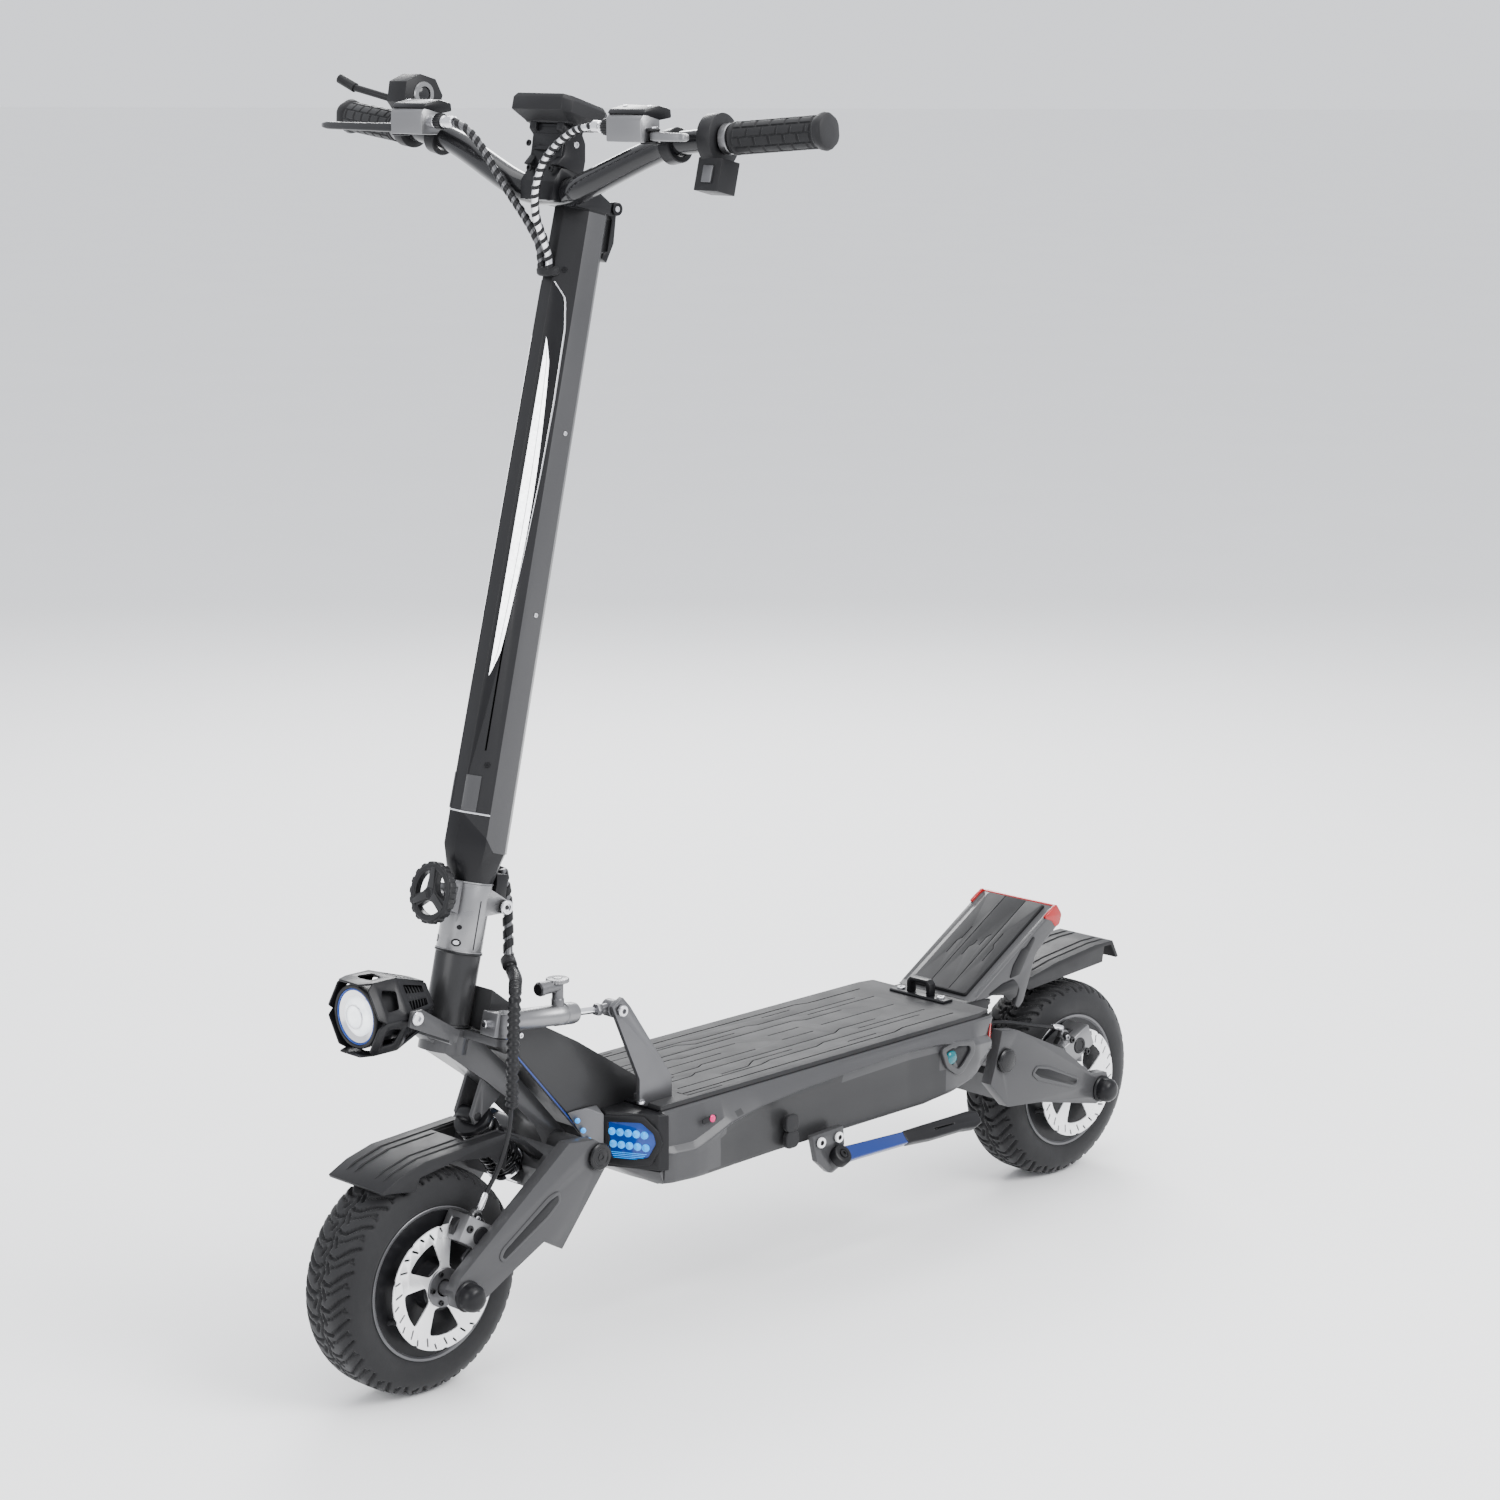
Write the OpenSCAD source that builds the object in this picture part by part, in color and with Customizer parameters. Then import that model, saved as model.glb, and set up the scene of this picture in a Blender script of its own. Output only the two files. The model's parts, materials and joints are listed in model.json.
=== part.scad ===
// Electric kick scooter: folding stem, sprung swing arms, hub motors and disc brakes.
// Millimetres. +Z is up, -Y is the direction of travel, +X is the rider's left.
// The origin is on the ground, in the mid-plane, half way between the axles.

/* [Wheels] */
// Distance between the two axles
wheel_base = 1072; // [1000:1:1290]
// Outside diameter of the tyres
tyre_d = 255; // [210:1:306]
// Width of a tyre
tyre_w = 80; // [66:1:90]
// Width of the flat centre band of the tread
tread_flat = 36; // [20:1:46]
// Diameter of the rim at the tyre bead
rim_d = 164; // [150:1:172]
// Diameter of a wheel axle
axle_d = 16; // [12:0.5:20]

/* [Brakes] */
// Diameter of a brake rotor
rotor_d = 140; // [116:1:146]
// Thickness of a brake rotor
rotor_t = 2; // [1.5:0.1:3]
// Distance of the rotor from the mid-plane
rotor_x = 51; // [50:0.5:53]

/* [Steering] */
// Rake of the steering axis from the vertical
rake = 13.5; // [11:0.5:16]
// Outside diameter of the steering column
column_d = 50; // [46:0.5:56]
// Diameter of the steerer inside the head tube
steerer_d = 30; // [25:0.5:34]
// Length of the head tube
head_tube_len = 82; // [76:1:90]
// Length of the fold collar above the head tube
collar_len = 77; // [70:1:82]
// Diameter of the clamp hand wheel
knob_d = 66; // [50:1:76]
// Width of the curved fork arm
fork_arm_w = 44; // [38:1:56]

/* [Stem and handlebar] */
// Height of the stem's top above the foot of the collar
stem_top = 808; // [680:1:960]
// Width of the stem across its side flats at the top
stem_w = 52; // [46:1:60]
// Depth of the stem at the top
stem_depth = 64; // [58:1:72]
// How much wider the stem is at its foot
stem_flare = 1.2; // [1.1:0.01:1.25]
// Diameter of the handlebar at its centre
bar_centre_d = 30; // [26:0.5:34]
// Diameter of the handlebar under the grips
bar_d = 22.2; // [20:0.1:25.4]
// Overall width of the handlebar
bar_w = 750; // [700:1:860]
// Diameter of a grip
grip_d = 34; // [30:0.5:38]
// Length of a grip
grip_len = 112; // [100:1:116]

/* [Deck] */
// Height of the deck's standing surface
deck_top = 280; // [270:1:300]
// Height of the deck's underside
deck_bottom = 188; // [176:1:200]
// Width of the standing surface
deck_w = 202; // [180:1:242]
// Width over the side covers
cover_w = 236; // [222:1:280]
// Thickness of the rubber mat
mat_t = 5; // [3:0.5:8]
// Thickness of the lid plate
lid_t = 6; // [4:0.5:8]
// Wall of the chassis tub
tub_wall = 4; // [3:0.5:6]
// Width of the kick tail
tail_w = 124; // [100:1:140]
// Radius of a charging port
port_r = 9; // [7:0.5:10]

/* [Suspension] */
// Height of the front swing arm's pivot
front_pivot_z = 240; // [234:1:246]
// Height of the rear swing arm's pivot
rear_pivot_z = 205; // [200:1:212]
// Diameter of a swing arm pivot bolt
pivot_d = 12; // [10:0.5:14]
// Inside face of a swing arm's side plate, from the mid-plane
arm_in = 76; // [75:0.5:78]
// Thickness of a swing arm's side plate
arm_t = 16; // [12:0.5:18]
// Outside diameter of a shock spring
spring_d = 44; // [38:1:46]

/* [Hidden] */
$fn = 48;
run = 0.05;      // radial clearance of a shaft that turns in a bore
gap = 0.3;       // clearance between pieces that move past each other
part_line = 0.02; // joint line between bonded parts of one piece
tyre_r = tyre_d / 2;
rim_r = rim_d / 2;
axle_r = axle_d / 2;
pivot_r = pivot_d / 2;
column_r = column_d / 2;
steerer_r = steerer_d / 2;
spring_r = spring_d / 2;
arm_out = arm_in + arm_t;
front_axle = [-wheel_base / 2, tyre_r];
rear_axle = [wheel_base / 2, tyre_r];
front_pivot = [front_axle[0] + tyre_r + 65.5, front_pivot_z];
rear_pivot = [rear_axle[0] - tyre_r - 63.5, rear_pivot_z];
deck_front = front_pivot[0] + 87;
deck_rear = rear_pivot[0] - 39;
deck_half = deck_w / 2;
cover_half = cover_w / 2;
tub_half = deck_half - 5;
lid_z = deck_top - mat_t;
tub_top = lid_z - lid_t;
head = [front_pivot[0] - 119, 480];
stem_foot = 100;
fold_at = [34.5, 53.8];
knob_at = [-50.5, 60];
cap_len = 9;

// ---- helpers -------------------------------------------------------------

// A point given in the raked frame of the steering axis, as [y, z] of the scooter
function raked(yl, zl) = [
    head[0] + yl * cos(rake) + zl * sin(rake),
    head[1] - yl * sin(rake) + zl * cos(rake)
];

// Point at fraction f of the way from p to q
function between(p, q, f) = p + (q - p) * f;

// Unit vector from p to q, both [y, z]
function towards(p, q) = (q - p) / norm(q - p);

module in_rake() {
    translate([0, head[0], head[1]]) rotate([-rake, 0, 0]) children();
}

// Cylinder along X from x0 to x1 about the line through at = [y, z]
module cross_rod(x0, x1, at, r) {
    translate([x0, at[0], at[1]]) rotate([0, 90, 0]) cylinder(h = x1 - x0, r = r);
}

// Side profile of [y, z] points, extruded along X from x0 to x1
module side_plate(x0, x1, points) {
    translate([x0, 0, 0]) rotate([90, 0, 90]) linear_extrude(x1 - x0) polygon(points);
}

// Cylinder between two points in space
// Point d mm beyond q on the line from p
function past(p, q, d) = q + (q - p) / norm(q - p) * d;

bend_run = 1.8;
module rod_between(p, q, r) {
    d = q - p;
    translate(p)
        rotate([0, acos(d[2] / norm(d)), atan2(d[1], d[0])])
            cylinder(h = norm(d), r = r);
}

// Cylinder in the mid-plane along the line from a to b, both [y, z], from s0 to s1 mm
module line_rod(a, b, s0, s1, r) {
    t = towards(a, b);
    p = a + t * s0;
    q = a + t * s1;
    rod_between([0, p[0], p[1]], [0, q[0], q[1]], r);
}

// The same shape on both sides of the mid-plane
module both_sides() {
    children();
    mirror([1, 0, 0]) children();
}

// Eight-sided section of the stem, k times its size at the top
module stem_section(k) {
    w = stem_w / 2 * k;
    d = stem_depth / 2 * k;
    tip = w * 0.29;
    flat = d * 0.39;
    polygon([
        [tip, -d], [w, -flat], [w, flat], [tip, d],
        [-tip, d], [-w, flat], [-w, -flat], [-tip, -d]
    ]);
}

// ---- deck ----------------------------------------------------------------

// Side outline of the chassis tub, inset by m
function tub_outline(m) = [
    [deck_front + m, deck_bottom + m], [deck_rear - 80, deck_bottom + m],
    [deck_rear - m, deck_bottom + 27 + m], [deck_rear - m, tub_top], [deck_front + m, tub_top]
];

module deck_tub() {
    lug = [[deck_rear - tub_wall, rear_pivot[1] + 24], [rear_pivot[0] + 2, rear_pivot[1] + 14],
        [rear_pivot[0] + 12, rear_pivot[1] + 4], [rear_pivot[0] + 8, rear_pivot[1] - 12],
        [rear_pivot[0] - 8, rear_pivot[1] - 14], [deck_rear - tub_wall, rear_pivot[1] + 12]];
    t = rear_shock_top;
    shock_lug = [[deck_rear - tub_wall, lid_z - 13], [deck_rear - tub_wall, tub_top - 28],
        t + [-45, -25], t + [-31, -10], t + [-23, 0.5], t + [0, -4.8], t + [10, -5], t + [9, 8],
        t + [-5, 14], t + [-32, 11], t + [-34, lid_z - 13 - t[1]]];
    color("dimgray") difference() {
        union() {
            difference() {
                side_plate(-tub_half, tub_half, tub_outline(0));
                side_plate(tub_wall - tub_half, tub_half - tub_wall,
                    tub_outline(tub_wall));
            }
            both_sides() side_plate(30, 44, lug);
            both_sides() side_plate(10.5, 15, shock_lug);
        }
        cross_rod(-60, 60, rear_pivot, pivot_r + run);
        cross_rod(-60, 60, rear_shock_top, 5 + run);
    }
}

module deck_lid() {
    color("dimgray")
        translate([-tub_half, deck_front, tub_top])
            cube([2 * tub_half, deck_rear - deck_front, lid_t]);
}

neck_half = 42;
// Notch in the mat's front for the neck and the damper bracket's foot
mat_notch_x = neck_half + gap;
mat_notch_y = deck_front + 38.5;
module deck_mat() {
    color([0.2, 0.2, 0.2])
        translate([0, 0, lid_z]) linear_extrude(mat_t) polygon([
            [-deck_half, deck_front], [-mat_notch_x, deck_front], [-mat_notch_x, mat_notch_y],
            [bracket_x + 6 + gap, mat_notch_y], [bracket_x + 6 + gap, deck_front],
            [deck_half, deck_front], [deck_half, latch_y - 12], [-deck_half, latch_y - 12]
        ]);
}

// Outline of a side cover where it meets the deck, and at its outer face
cover_inner = [
    [deck_front, deck_bottom], [deck_rear - 131, deck_bottom], [deck_rear - 47, deck_bottom + 14],
    [deck_rear, deck_bottom + 38], [deck_rear, lid_z - 1], [deck_front, lid_z - 1]
];
cover_outer = [
    [deck_front + 6, deck_bottom + 4], [deck_rear - 131, deck_bottom + 3],
    [deck_rear - 60, deck_bottom + 20], [deck_rear - 24, deck_bottom + 38],
    [deck_rear - 108, deck_top - 22], [deck_rear - 267, deck_top - 10],
    [deck_rear - 352, deck_top - 21], [deck_front + 29, deck_top - 46]
];
port_y = deck_front + 194;
port_z = [deck_top - 59, deck_top - 79];

module side_covers() {
    color("gray") difference() {
        both_sides() hull() {
            side_plate(tub_half, tub_half + 2, cover_inner);
            side_plate(cover_half - 2, cover_half, cover_outer);
        }
        for (z = port_z) cross_rod(tub_half + 4, cover_half + 1, [port_y, z], port_r);
        both_sides() side_plate(cover_half - 13, cover_half + 1, pink_lamp(0));
    }
    // charging sockets behind the covers' holes
    color("silver") for (z = port_z) difference() {
        cross_rod(tub_half + 4, cover_half - 4, [port_y, z], port_r - 0.1);
        cross_rod(tub_half + 7, cover_half, [port_y, z], port_r - 3);
    }
}

module port_cap(z) {
    color("black") {
        cross_rod(cover_half - 4 + gap, cover_half + 1, [port_y, z], port_r - 0.1);
        cross_rod(cover_half + 1, cover_half + 3, [port_y, z], port_r + 0.5);
    }
}

module port_cap_upper() { port_cap(port_z[0]); }
module port_cap_lower() { port_cap(port_z[1]); }

nose_y = front_pivot[0] + 47;
nose_corner = 52;

// Plan outline of the nose, inset by m
function nose_plan(m) = [
    [m - cover_half + 3, deck_front], [m - nose_corner - 56, deck_front - 10 + m],
    [m * 0.7 - nose_corner, nose_y + m], [nose_corner - m * 0.7, nose_y + m],
    [nose_corner + 56 - m, deck_front - 10 + m], [cover_half - 3 - m, deck_front]
];

module nose_bezel() {
    color([0.15, 0.15, 0.15]) difference() {
        translate([0, 0, deck_bottom + 20]) linear_extrude(lid_z - deck_bottom - 22) polygon(nose_plan(0));
        translate([0, 0, deck_bottom + 24]) linear_extrude(lid_z - deck_bottom - 30) polygon(nose_plan(4));
        side_plate(-neck_half - gap, neck_half + gap, neck_profile(gap));
        lamp_blocks(-0.01);
    }
}

// Lamp housings let into the slanted faces of the nose
module lamp_blocks(m) {
    both_sides()
        translate([nose_corner + 28, (nose_y + deck_front - 10) / 2, deck_bottom + 52])
            rotate([0, 0, atan2(deck_front - 10 - nose_y, 56)])
                translate([-26 + m, -2 + m, -20 + m]) cube([52 - 2 * m, 7 - 2 * m, 40 - 2 * m]);
}

// Outline of the small pink lamp in each side cover, grown by m
function pink_lamp(m) = [
    [deck_front + 60 - m, deck_top - 31 - m], [deck_front + 76 + m, deck_top - 30 - m],
    [deck_front + 76 + m, deck_top - 23 + m], [deck_front + 60 - m, deck_top - 24 + m]
];

tail_lamp_y = deck_rear + 164;
module marker_lights() {
    color("deepskyblue") lamp_blocks(0);
    color("deeppink")
        both_sides() side_plate(cover_half - 13, cover_half - 9, pink_lamp(0));
    color("red")
        both_sides() side_plate(deck_half - 14, deck_half - 4,
            [[deck_rear, deck_bottom + 50], [deck_rear + 5, deck_bottom + 50],
             [deck_rear + 3, lid_z - 4], [deck_rear, lid_z - 4]]);
    color("red") side_plate(-tail_w / 2, tail_w / 2, [
        [tail_lamp_y + 5, deck_top + 93], [tail_lamp_y + 8, deck_top + 94],
        [tail_lamp_y + 13, deck_top + 84], [tail_lamp_y + 8, deck_top + 68],
        [tail_lamp_y + 5, deck_top + 68]]);
}

// Side outline of the neck beam, grown by m; its foot rests on the mat
function neck_profile(m) = [
    raked(20, -35) + [0, m], [nose_y - 90, deck_top + 111 + m], [nose_y - 31, deck_top + 78 + m],
    [deck_front + 28, deck_top + 13 + m], [deck_front + 28, lid_z], [deck_front, lid_z],
    [deck_front, deck_bottom + 30 - m], [nose_y - 4, deck_bottom + 46 - m], raked(20, -80)
];

module neck() {
    color("dimgray") difference() {
        union() {
            in_rake() translate([0, 0, -head_tube_len]) cylinder(h = head_tube_len - gap, r = column_r);
            side_plate(-neck_half, neck_half, neck_profile(0));
        }
        in_rake() {
            translate([0, 0, -head_tube_len - 60]) cylinder(h = 220, r = steerer_r + 6);
            // room for the fork arm as it turns under the neck
            rotate_extrude() polygon([
                [0, -head_tube_len - 0.01], [60, -head_tube_len - 0.01],
                [79.7, -109], [199.5, -188.2], [219, -188.2], [219, -400], [0, -400]
            ]);
            // room for the collar and the stem's foot
            translate([0, 0, -gap]) cylinder(h = 90, r = column_r + 24);
        }
    }
    // upper and lower headset bearings
    color("silver") in_rake() for (z = [-14 - gap, -head_tube_len]) translate([0, 0, z]) difference() {
        cylinder(h = 14, r = steerer_r + 6 - part_line);
        translate([0, 0, -1]) cylinder(h = 16, r = steerer_r + run);
    }
}

module battery_pack() {
    color("royalblue")
        translate([10 - tub_half, deck_front + 70, deck_bottom + tub_wall])
            cube([2 * tub_half - 20, deck_rear - deck_front - 210, tub_top - deck_bottom - tub_wall - 8]);
}

module motor_controllers() {
    color("silver") for (y = [deck_front + 12, deck_rear - 132])
        translate([-55, y, deck_bottom + tub_wall]) cube([110, 50, 34]);
}

// Ends of the kick tail's sloping underside
tail_under = [[deck_rear + 107, deck_top + 22], [tail_lamp_y + 5, deck_top + 66]];

module kick_tail() {
    y0 = deck_rear + 15;
    color("gray") side_plate(-tail_w / 2, tail_w / 2, [
        [y0 - 5, deck_top], [y0, deck_top + 2], [tail_lamp_y + 5, deck_top + 93],
        tail_under[1], tail_under[0], [y0 + 58, deck_top + 16],
        [y0 + 20, deck_top]
    ]);
    // foot that carries the tail on the deck's rear end
    color("gray") side_plate(-tail_w / 2, tail_w / 2, [
        [deck_rear, lid_z - 12], [deck_rear, deck_top], [y0 + 20, deck_top],
        [y0 + 34, lid_z - 4], [y0 + 20, lid_z - 12]
    ]);
    color([0.2, 0.2, 0.2]) side_plate(-tail_w / 2 + 12, tail_w / 2 - 12, [
        [y0 + 2, deck_top + 3.2], [y0, deck_top + 7], [tail_lamp_y - 1, deck_top + 94],
        [tail_lamp_y + 1, deck_top + 90.65]
    ]);
}

latch_y = deck_rear - 16;
module latch_loop() {
    color("black") difference() {
        union() {
            translate([-45, latch_y - 10, lid_z]) cube([90, 20, mat_t + 4]);
            both_sides() translate([33, latch_y, deck_top + 4]) cylinder(h = 3, r = 5);
            both_sides() translate([13, latch_y - 5, deck_top + 4]) cube([6, 10, 14]);
            translate([-19, latch_y - 5, deck_top + 18]) cube([38, 10, 6]);
        }
        both_sides() translate([33, latch_y, deck_top + 5]) cylinder(h = 5, r = 2.5, $fn = 6);
    }
}

damper_yl = 14.5;
damper_front = raked(damper_yl, -66);
damper_ball = [front_pivot[0] + 45, deck_top + 115.6];
damper_x = 66;
bracket_x = 75;
module damper_bracket() {
    color("silver") difference() {
        union() {
            side_plate(bracket_x, bracket_x + 6, [
                [deck_front + 1, lid_z], [deck_front + 37, lid_z], [deck_front + 37, deck_top + 24],
                damper_ball + [15, 2], damper_ball + [4, 14], damper_ball + [-12, 6],
                [deck_front - 13, deck_top + 30], [deck_front - 13, deck_top]
            ]);
            translate([bracket_x - 20, deck_front + 2, lid_z]) cube([21, 34, mat_t + 5]);
        }
        cross_rod(bracket_x - 1, bracket_x + 8, damper_ball, 4 + run);
    }
    // ball stud bolt through the bracket
    color("silver") cross_rod(bracket_x - 0.2, bracket_x + 10, damper_ball, 4);
}

stand_y = deck_front + 244;
stand_pivot = [stand_y + 16, deck_bottom - 18];
stand_hub = [cover_half + 16, stand_pivot[0], stand_pivot[1]];
// Direction of the tilted pin that the leg swings about
stand_axis = [0.7526, 0.0228, 0.6581];
stand_bore_r = 5;

// Cylinder on the tilted pin from s0 to s1 mm beyond the hub's middle
module stand_rod(s0, s1, r) {
    rod_between(stand_hub + stand_axis * s0, stand_hub + stand_axis * s1, r);
}

module stand_bracket() {
    color("dimgray") difference() {
        union() {
            side_plate(cover_half, cover_half + 8, [
                [stand_y - 24, deck_bottom + 12], [stand_y + 28, deck_bottom + 14],
                stand_pivot + [14, 12], stand_pivot + [12, -14], stand_pivot + [-12, -20],
                [stand_y - 16, deck_bottom - 20]
            ]);
            stand_rod(-26, -8, 9);
        }
        stand_rod(-7.6, 20, 13);
        stand_rod(-27, -7, stand_bore_r + run);
    }
    color("silver") for (y = [-12, 18])
        cross_rod(cover_half + 8, cover_half + 11, [stand_y + y, deck_bottom + 3], 5);
}

module kickstand() {
    p = stand_hub;
    color("black") {
        stand_rod(-25, -7, stand_bore_r);
        stand_rod(-7.2, 6, 12);
    }
    color("black") rod_between(p + [0, 8, 0], p + [0, 232, -8], 6);
    color("black") translate(p + [-6, 224, -16]) cube([14, 16, 16]);
}

module rear_fender() {
    a = rear_axle;
    color("black") {
        side_plate(-44, 44, [
            a + [-108, 151], a + [-36, 165], a + [40, 173], a + [76, 173], a + [88, 150],
            a + [84, 149], a + [73, 168], a + [40, 168], a + [-35, 160], a + [-108, 146]
        ]);
        both_sides() side_plate(40, 44, [
            a + [-106, 149], a + [-36, 163], a + [40, 171], a + [60, 171], a + [56, 148], a + [-90, 139]
        ]);
        // stay under the kick tail
        side_plate(-26, 26, [
            a + [-108, 150], a + [-80, 154], between(tail_under[0], tail_under[1], 0.5),
            between(tail_under[0], tail_under[1], 0.1)
        ]);
    }
}

module rear_pivot_bolt() {
    color("black") {
        cross_rod(-arm_out, arm_out, rear_pivot, pivot_r);
        both_sides() cross_rod(arm_out + gap, arm_out + gap + 6, rear_pivot, 13);
        both_sides() cross_rod(arm_out - 1, arm_out + gap + 1, rear_pivot, pivot_r);
    }
}

// ---- steering ------------------------------------------------------------

front_shock_top = front_pivot + [-108, 52];
front_shock_foot = front_pivot + [-46, -30];
lamp_at = [front_pivot[0] - 222, 434];

module fork_arm() {
    half = fork_arm_w / 2;
    p = front_pivot;
    color("gray") difference() {
        union() {
            // crown ring and steerer
            in_rake() translate([0, 0, -head_tube_len - 28.5]) cylinder(h = 28.5 - gap, r = column_r + 2);
            in_rake() translate([0, 0, -head_tube_len - 10]) cylinder(h = head_tube_len + 50, r = steerer_r);
            // curved arm down to the swing arm's pivot
            side_plate(-half, half, [
                raked(-16, -head_tube_len - 28), raked(26, -head_tube_len - 8), p + [-71, 105],
                p + [-30, 60], p + [12, 12], p + [12, -10], p + [-14, -8], p + [-32, 28],
                p + [-72, 68], p + [-100, 92]
            ]);
            cross_rod(-half, half, p, 17);
            // ears for the shock
            both_sides() side_plate(10.5, 15, [
                p + [-71, 72], p + [-99, 96], front_shock_top + [-9, 3],
                front_shock_top + [-5, -8], front_shock_top + [1, -5], front_shock_top + [9, 1]
            ]);
            // lamp bracket at the front of the ring
            both_sides() side_plate(47.5, 51, [
                lamp_at + [-10, -8], lamp_at + [-6, 8], lamp_at + [8, 8],
                lamp_at + [60, -26], lamp_at + [54, -38]
            ]);
            side_plate(-51, 51, [
                lamp_at + [44, -36], lamp_at + [50, -22], lamp_at + [54, -24], lamp_at + [48, -39]
            ]);
            side_plate(-12, 12, [
                lamp_at + [44, -36], lamp_at + [49, -24], raked(-20, -head_tube_len - 8),
                raked(-20, -head_tube_len - 22)
            ]);
            // lug and stud for the damper's clamp
            in_rake() translate([18, damper_yl - 12, -head_tube_len - 9]) cube([62, 17, 9 - gap]);
            in_rake() translate([damper_x, damper_yl, -head_tube_len - 9]) cylinder(h = 19.5, r = 5);
        }
        cross_rod(-half - 1, half + 1, p, pivot_r + run);
        cross_rod(-20, 20, front_shock_top, 5 + run);
        cross_rod(-60, 60, lamp_at, 4 + run);
    }
}

module fold_collar() {
    color("silver") in_rake() difference() {
        union() {
            cylinder(h = collar_len, r = column_r);
            // ears for the fold pin
            both_sides() side_plate(15, 23, [
                [0, fold_at[1] - 14], [fold_at[0] - 4, fold_at[1] - 8], [fold_at[0] + 6, fold_at[1] - 6],
                [fold_at[0] + 8, fold_at[1] + 4], [fold_at[0] + 2, fold_at[1] + 8], [0, fold_at[1] + 22]
            ]);
            // boss for the clamp screw
            translate([0, -column_r - 14, knob_at[1]]) rotate([-90, 0, 0]) cylinder(h = 20, r = 12);
        }
        translate([0, 0, -1]) cylinder(h = 41 + 0.05, r = steerer_r);
        translate([0, 0, 38]) cylinder(h = collar_len, r = column_r - 4);
        translate([0, -column_r - 15, knob_at[1]]) rotate([-90, 0, 0]) cylinder(h = 24, r = 5 + run);
        cross_rod(-30, 30, fold_at, 4.5 + run);
    }
}

module pivot_pins() {
    color("silver") in_rake() {
        cross_rod(-23, 23, fold_at, 4.5);
        both_sides() cross_rod(23, 26, fold_at, 8);
    }
    color("black") {
        cross_rod(-arm_out, arm_out, front_pivot, pivot_r);
        both_sides() cross_rod(arm_out + gap, arm_out + gap + 5, front_pivot, 15);
        both_sides() cross_rod(arm_out - 1, arm_out + gap + 1, front_pivot, pivot_r);
    }
}

module clamp_knob() {
    color([0.25, 0.25, 0.25]) in_rake() translate([0, knob_at[0], knob_at[1]]) rotate([90, 0, 0]) {
        difference() {
            translate([0, 0, -4.5]) cylinder(h = 9, r = knob_d / 2);
            for (a = [60:120:300]) rotate([0, 0, a])
                translate([knob_d / 4 + 1, 0, -9]) cylinder(h = 18, r = 6.5);
        }
        translate([0, 0, knob_at[0] + 22]) cylinder(h = -knob_at[0] - 22 - 4, r = 5);
    }
}

module headlight() {
    color("black") difference() {
        translate([0, lamp_at[0], lamp_at[1]]) rotate([90, 0, 0]) rotate_extrude() polygon([
            [0, -45], [28, -45], [44, -28], [44, 44], [34, 44], [34, 36], [0, 36]
        ]);
        cross_rod(-60, 60, lamp_at, 4);
    }
    color("black") {
        cross_rod(-44, 44, lamp_at, 4);
        both_sides() cross_rod(44 + gap, 51, lamp_at, 4);
        both_sides() cross_rod(51 + gap, 54, lamp_at, 8);
        both_sides() cross_rod(40, 52, lamp_at, 3.9);
    }
    color("white") translate([0, lamp_at[0] - 36, lamp_at[1]]) rotate([90, 0, 0])
        cylinder(h = 12, r = 33.7);
}

// ---- stem ----------------------------------------------------------------

// Side outline of the dark boot's top, in the raked frame
boot_cut = [
    [-60, 60], [60, 60], [60, stem_foot + 8], [-2, stem_foot + 12], [-38, stem_foot + 52],
    [-60, stem_foot + 52]
];
boot_scale = stem_flare - 0.14;

module stem_solid(k0, k1) {
    hull() {
        translate([0, 0, stem_foot - 2]) linear_extrude(1) stem_section(k0);
        translate([0, 0, stem_top - 1]) linear_extrude(1) stem_section(k1);
    }
}

module stem_tube() {
    color("dimgray") in_rake() difference() {
        stem_solid(stem_flare, 1);
        translate([0, 0, 1]) stem_solid(stem_flare - 0.14, 0.86);
        light_strips();
        side_plate(-60, 60, boot_cut);
    }
}

module stem_boot() {
    color([0.2, 0.2, 0.2]) in_rake() difference() {
        union() {
            intersection() {
                hull() {
                    translate([0, 0, stem_foot + 14]) linear_extrude(1) stem_section(stem_flare - 0.004);
                    translate([0, 0, stem_foot + 60]) linear_extrude(1) stem_section(stem_flare - 0.014);
                    translate([0, 0, stem_foot]) linear_extrude(1) stem_section(boot_scale);
                }
                side_plate(-60, 60, boot_cut);
            }
            hull() {
                translate([0, 0, stem_foot]) linear_extrude(1) stem_section(boot_scale);
                translate([0, 0, collar_len + gap]) cylinder(h = 1, r = column_r);
            }
            side_plate(-14.7, 14.7, [
                [24, stem_foot - 12], [fold_at[0] - 8.4, collar_len + gap], [fold_at[0] - 8.4, fold_at[1]],
                [fold_at[0] - 5, fold_at[1] - 7], [fold_at[0] + 5, fold_at[1] - 7],
                [fold_at[0] + 8.4, fold_at[1]], [fold_at[0] + 6, stem_foot - 12]
            ]);
        }
        cross_rod(-30, 30, fold_at, 4.5 + run);
        translate([0, 0, collar_len + 12]) linear_extrude(100) stem_section(0.8);
    }
}

// Light strips let into the two slanted front faces of the stem
module light_strips() {
    side = stem_w / 2;
    both_sides() hull() for (z = [stem_foot + 130, stem_top - 130])
        translate([side * 0.62 + 2.2, -stem_depth / 2 * 0.74 - 1.6, z]) rotate([0, 0, 37])
            cube([2, 8, 20], center = true);
}

module stem_light_panels() {
    color("white") in_rake() light_strips();
}

bar_points = [
    [0, -46, stem_top + 14], [62, -52, stem_top + 22], [158, -54, stem_top + 60],
    [210, -56, stem_top + 70], [bar_w / 2, -33, stem_top + 90]
];

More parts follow.
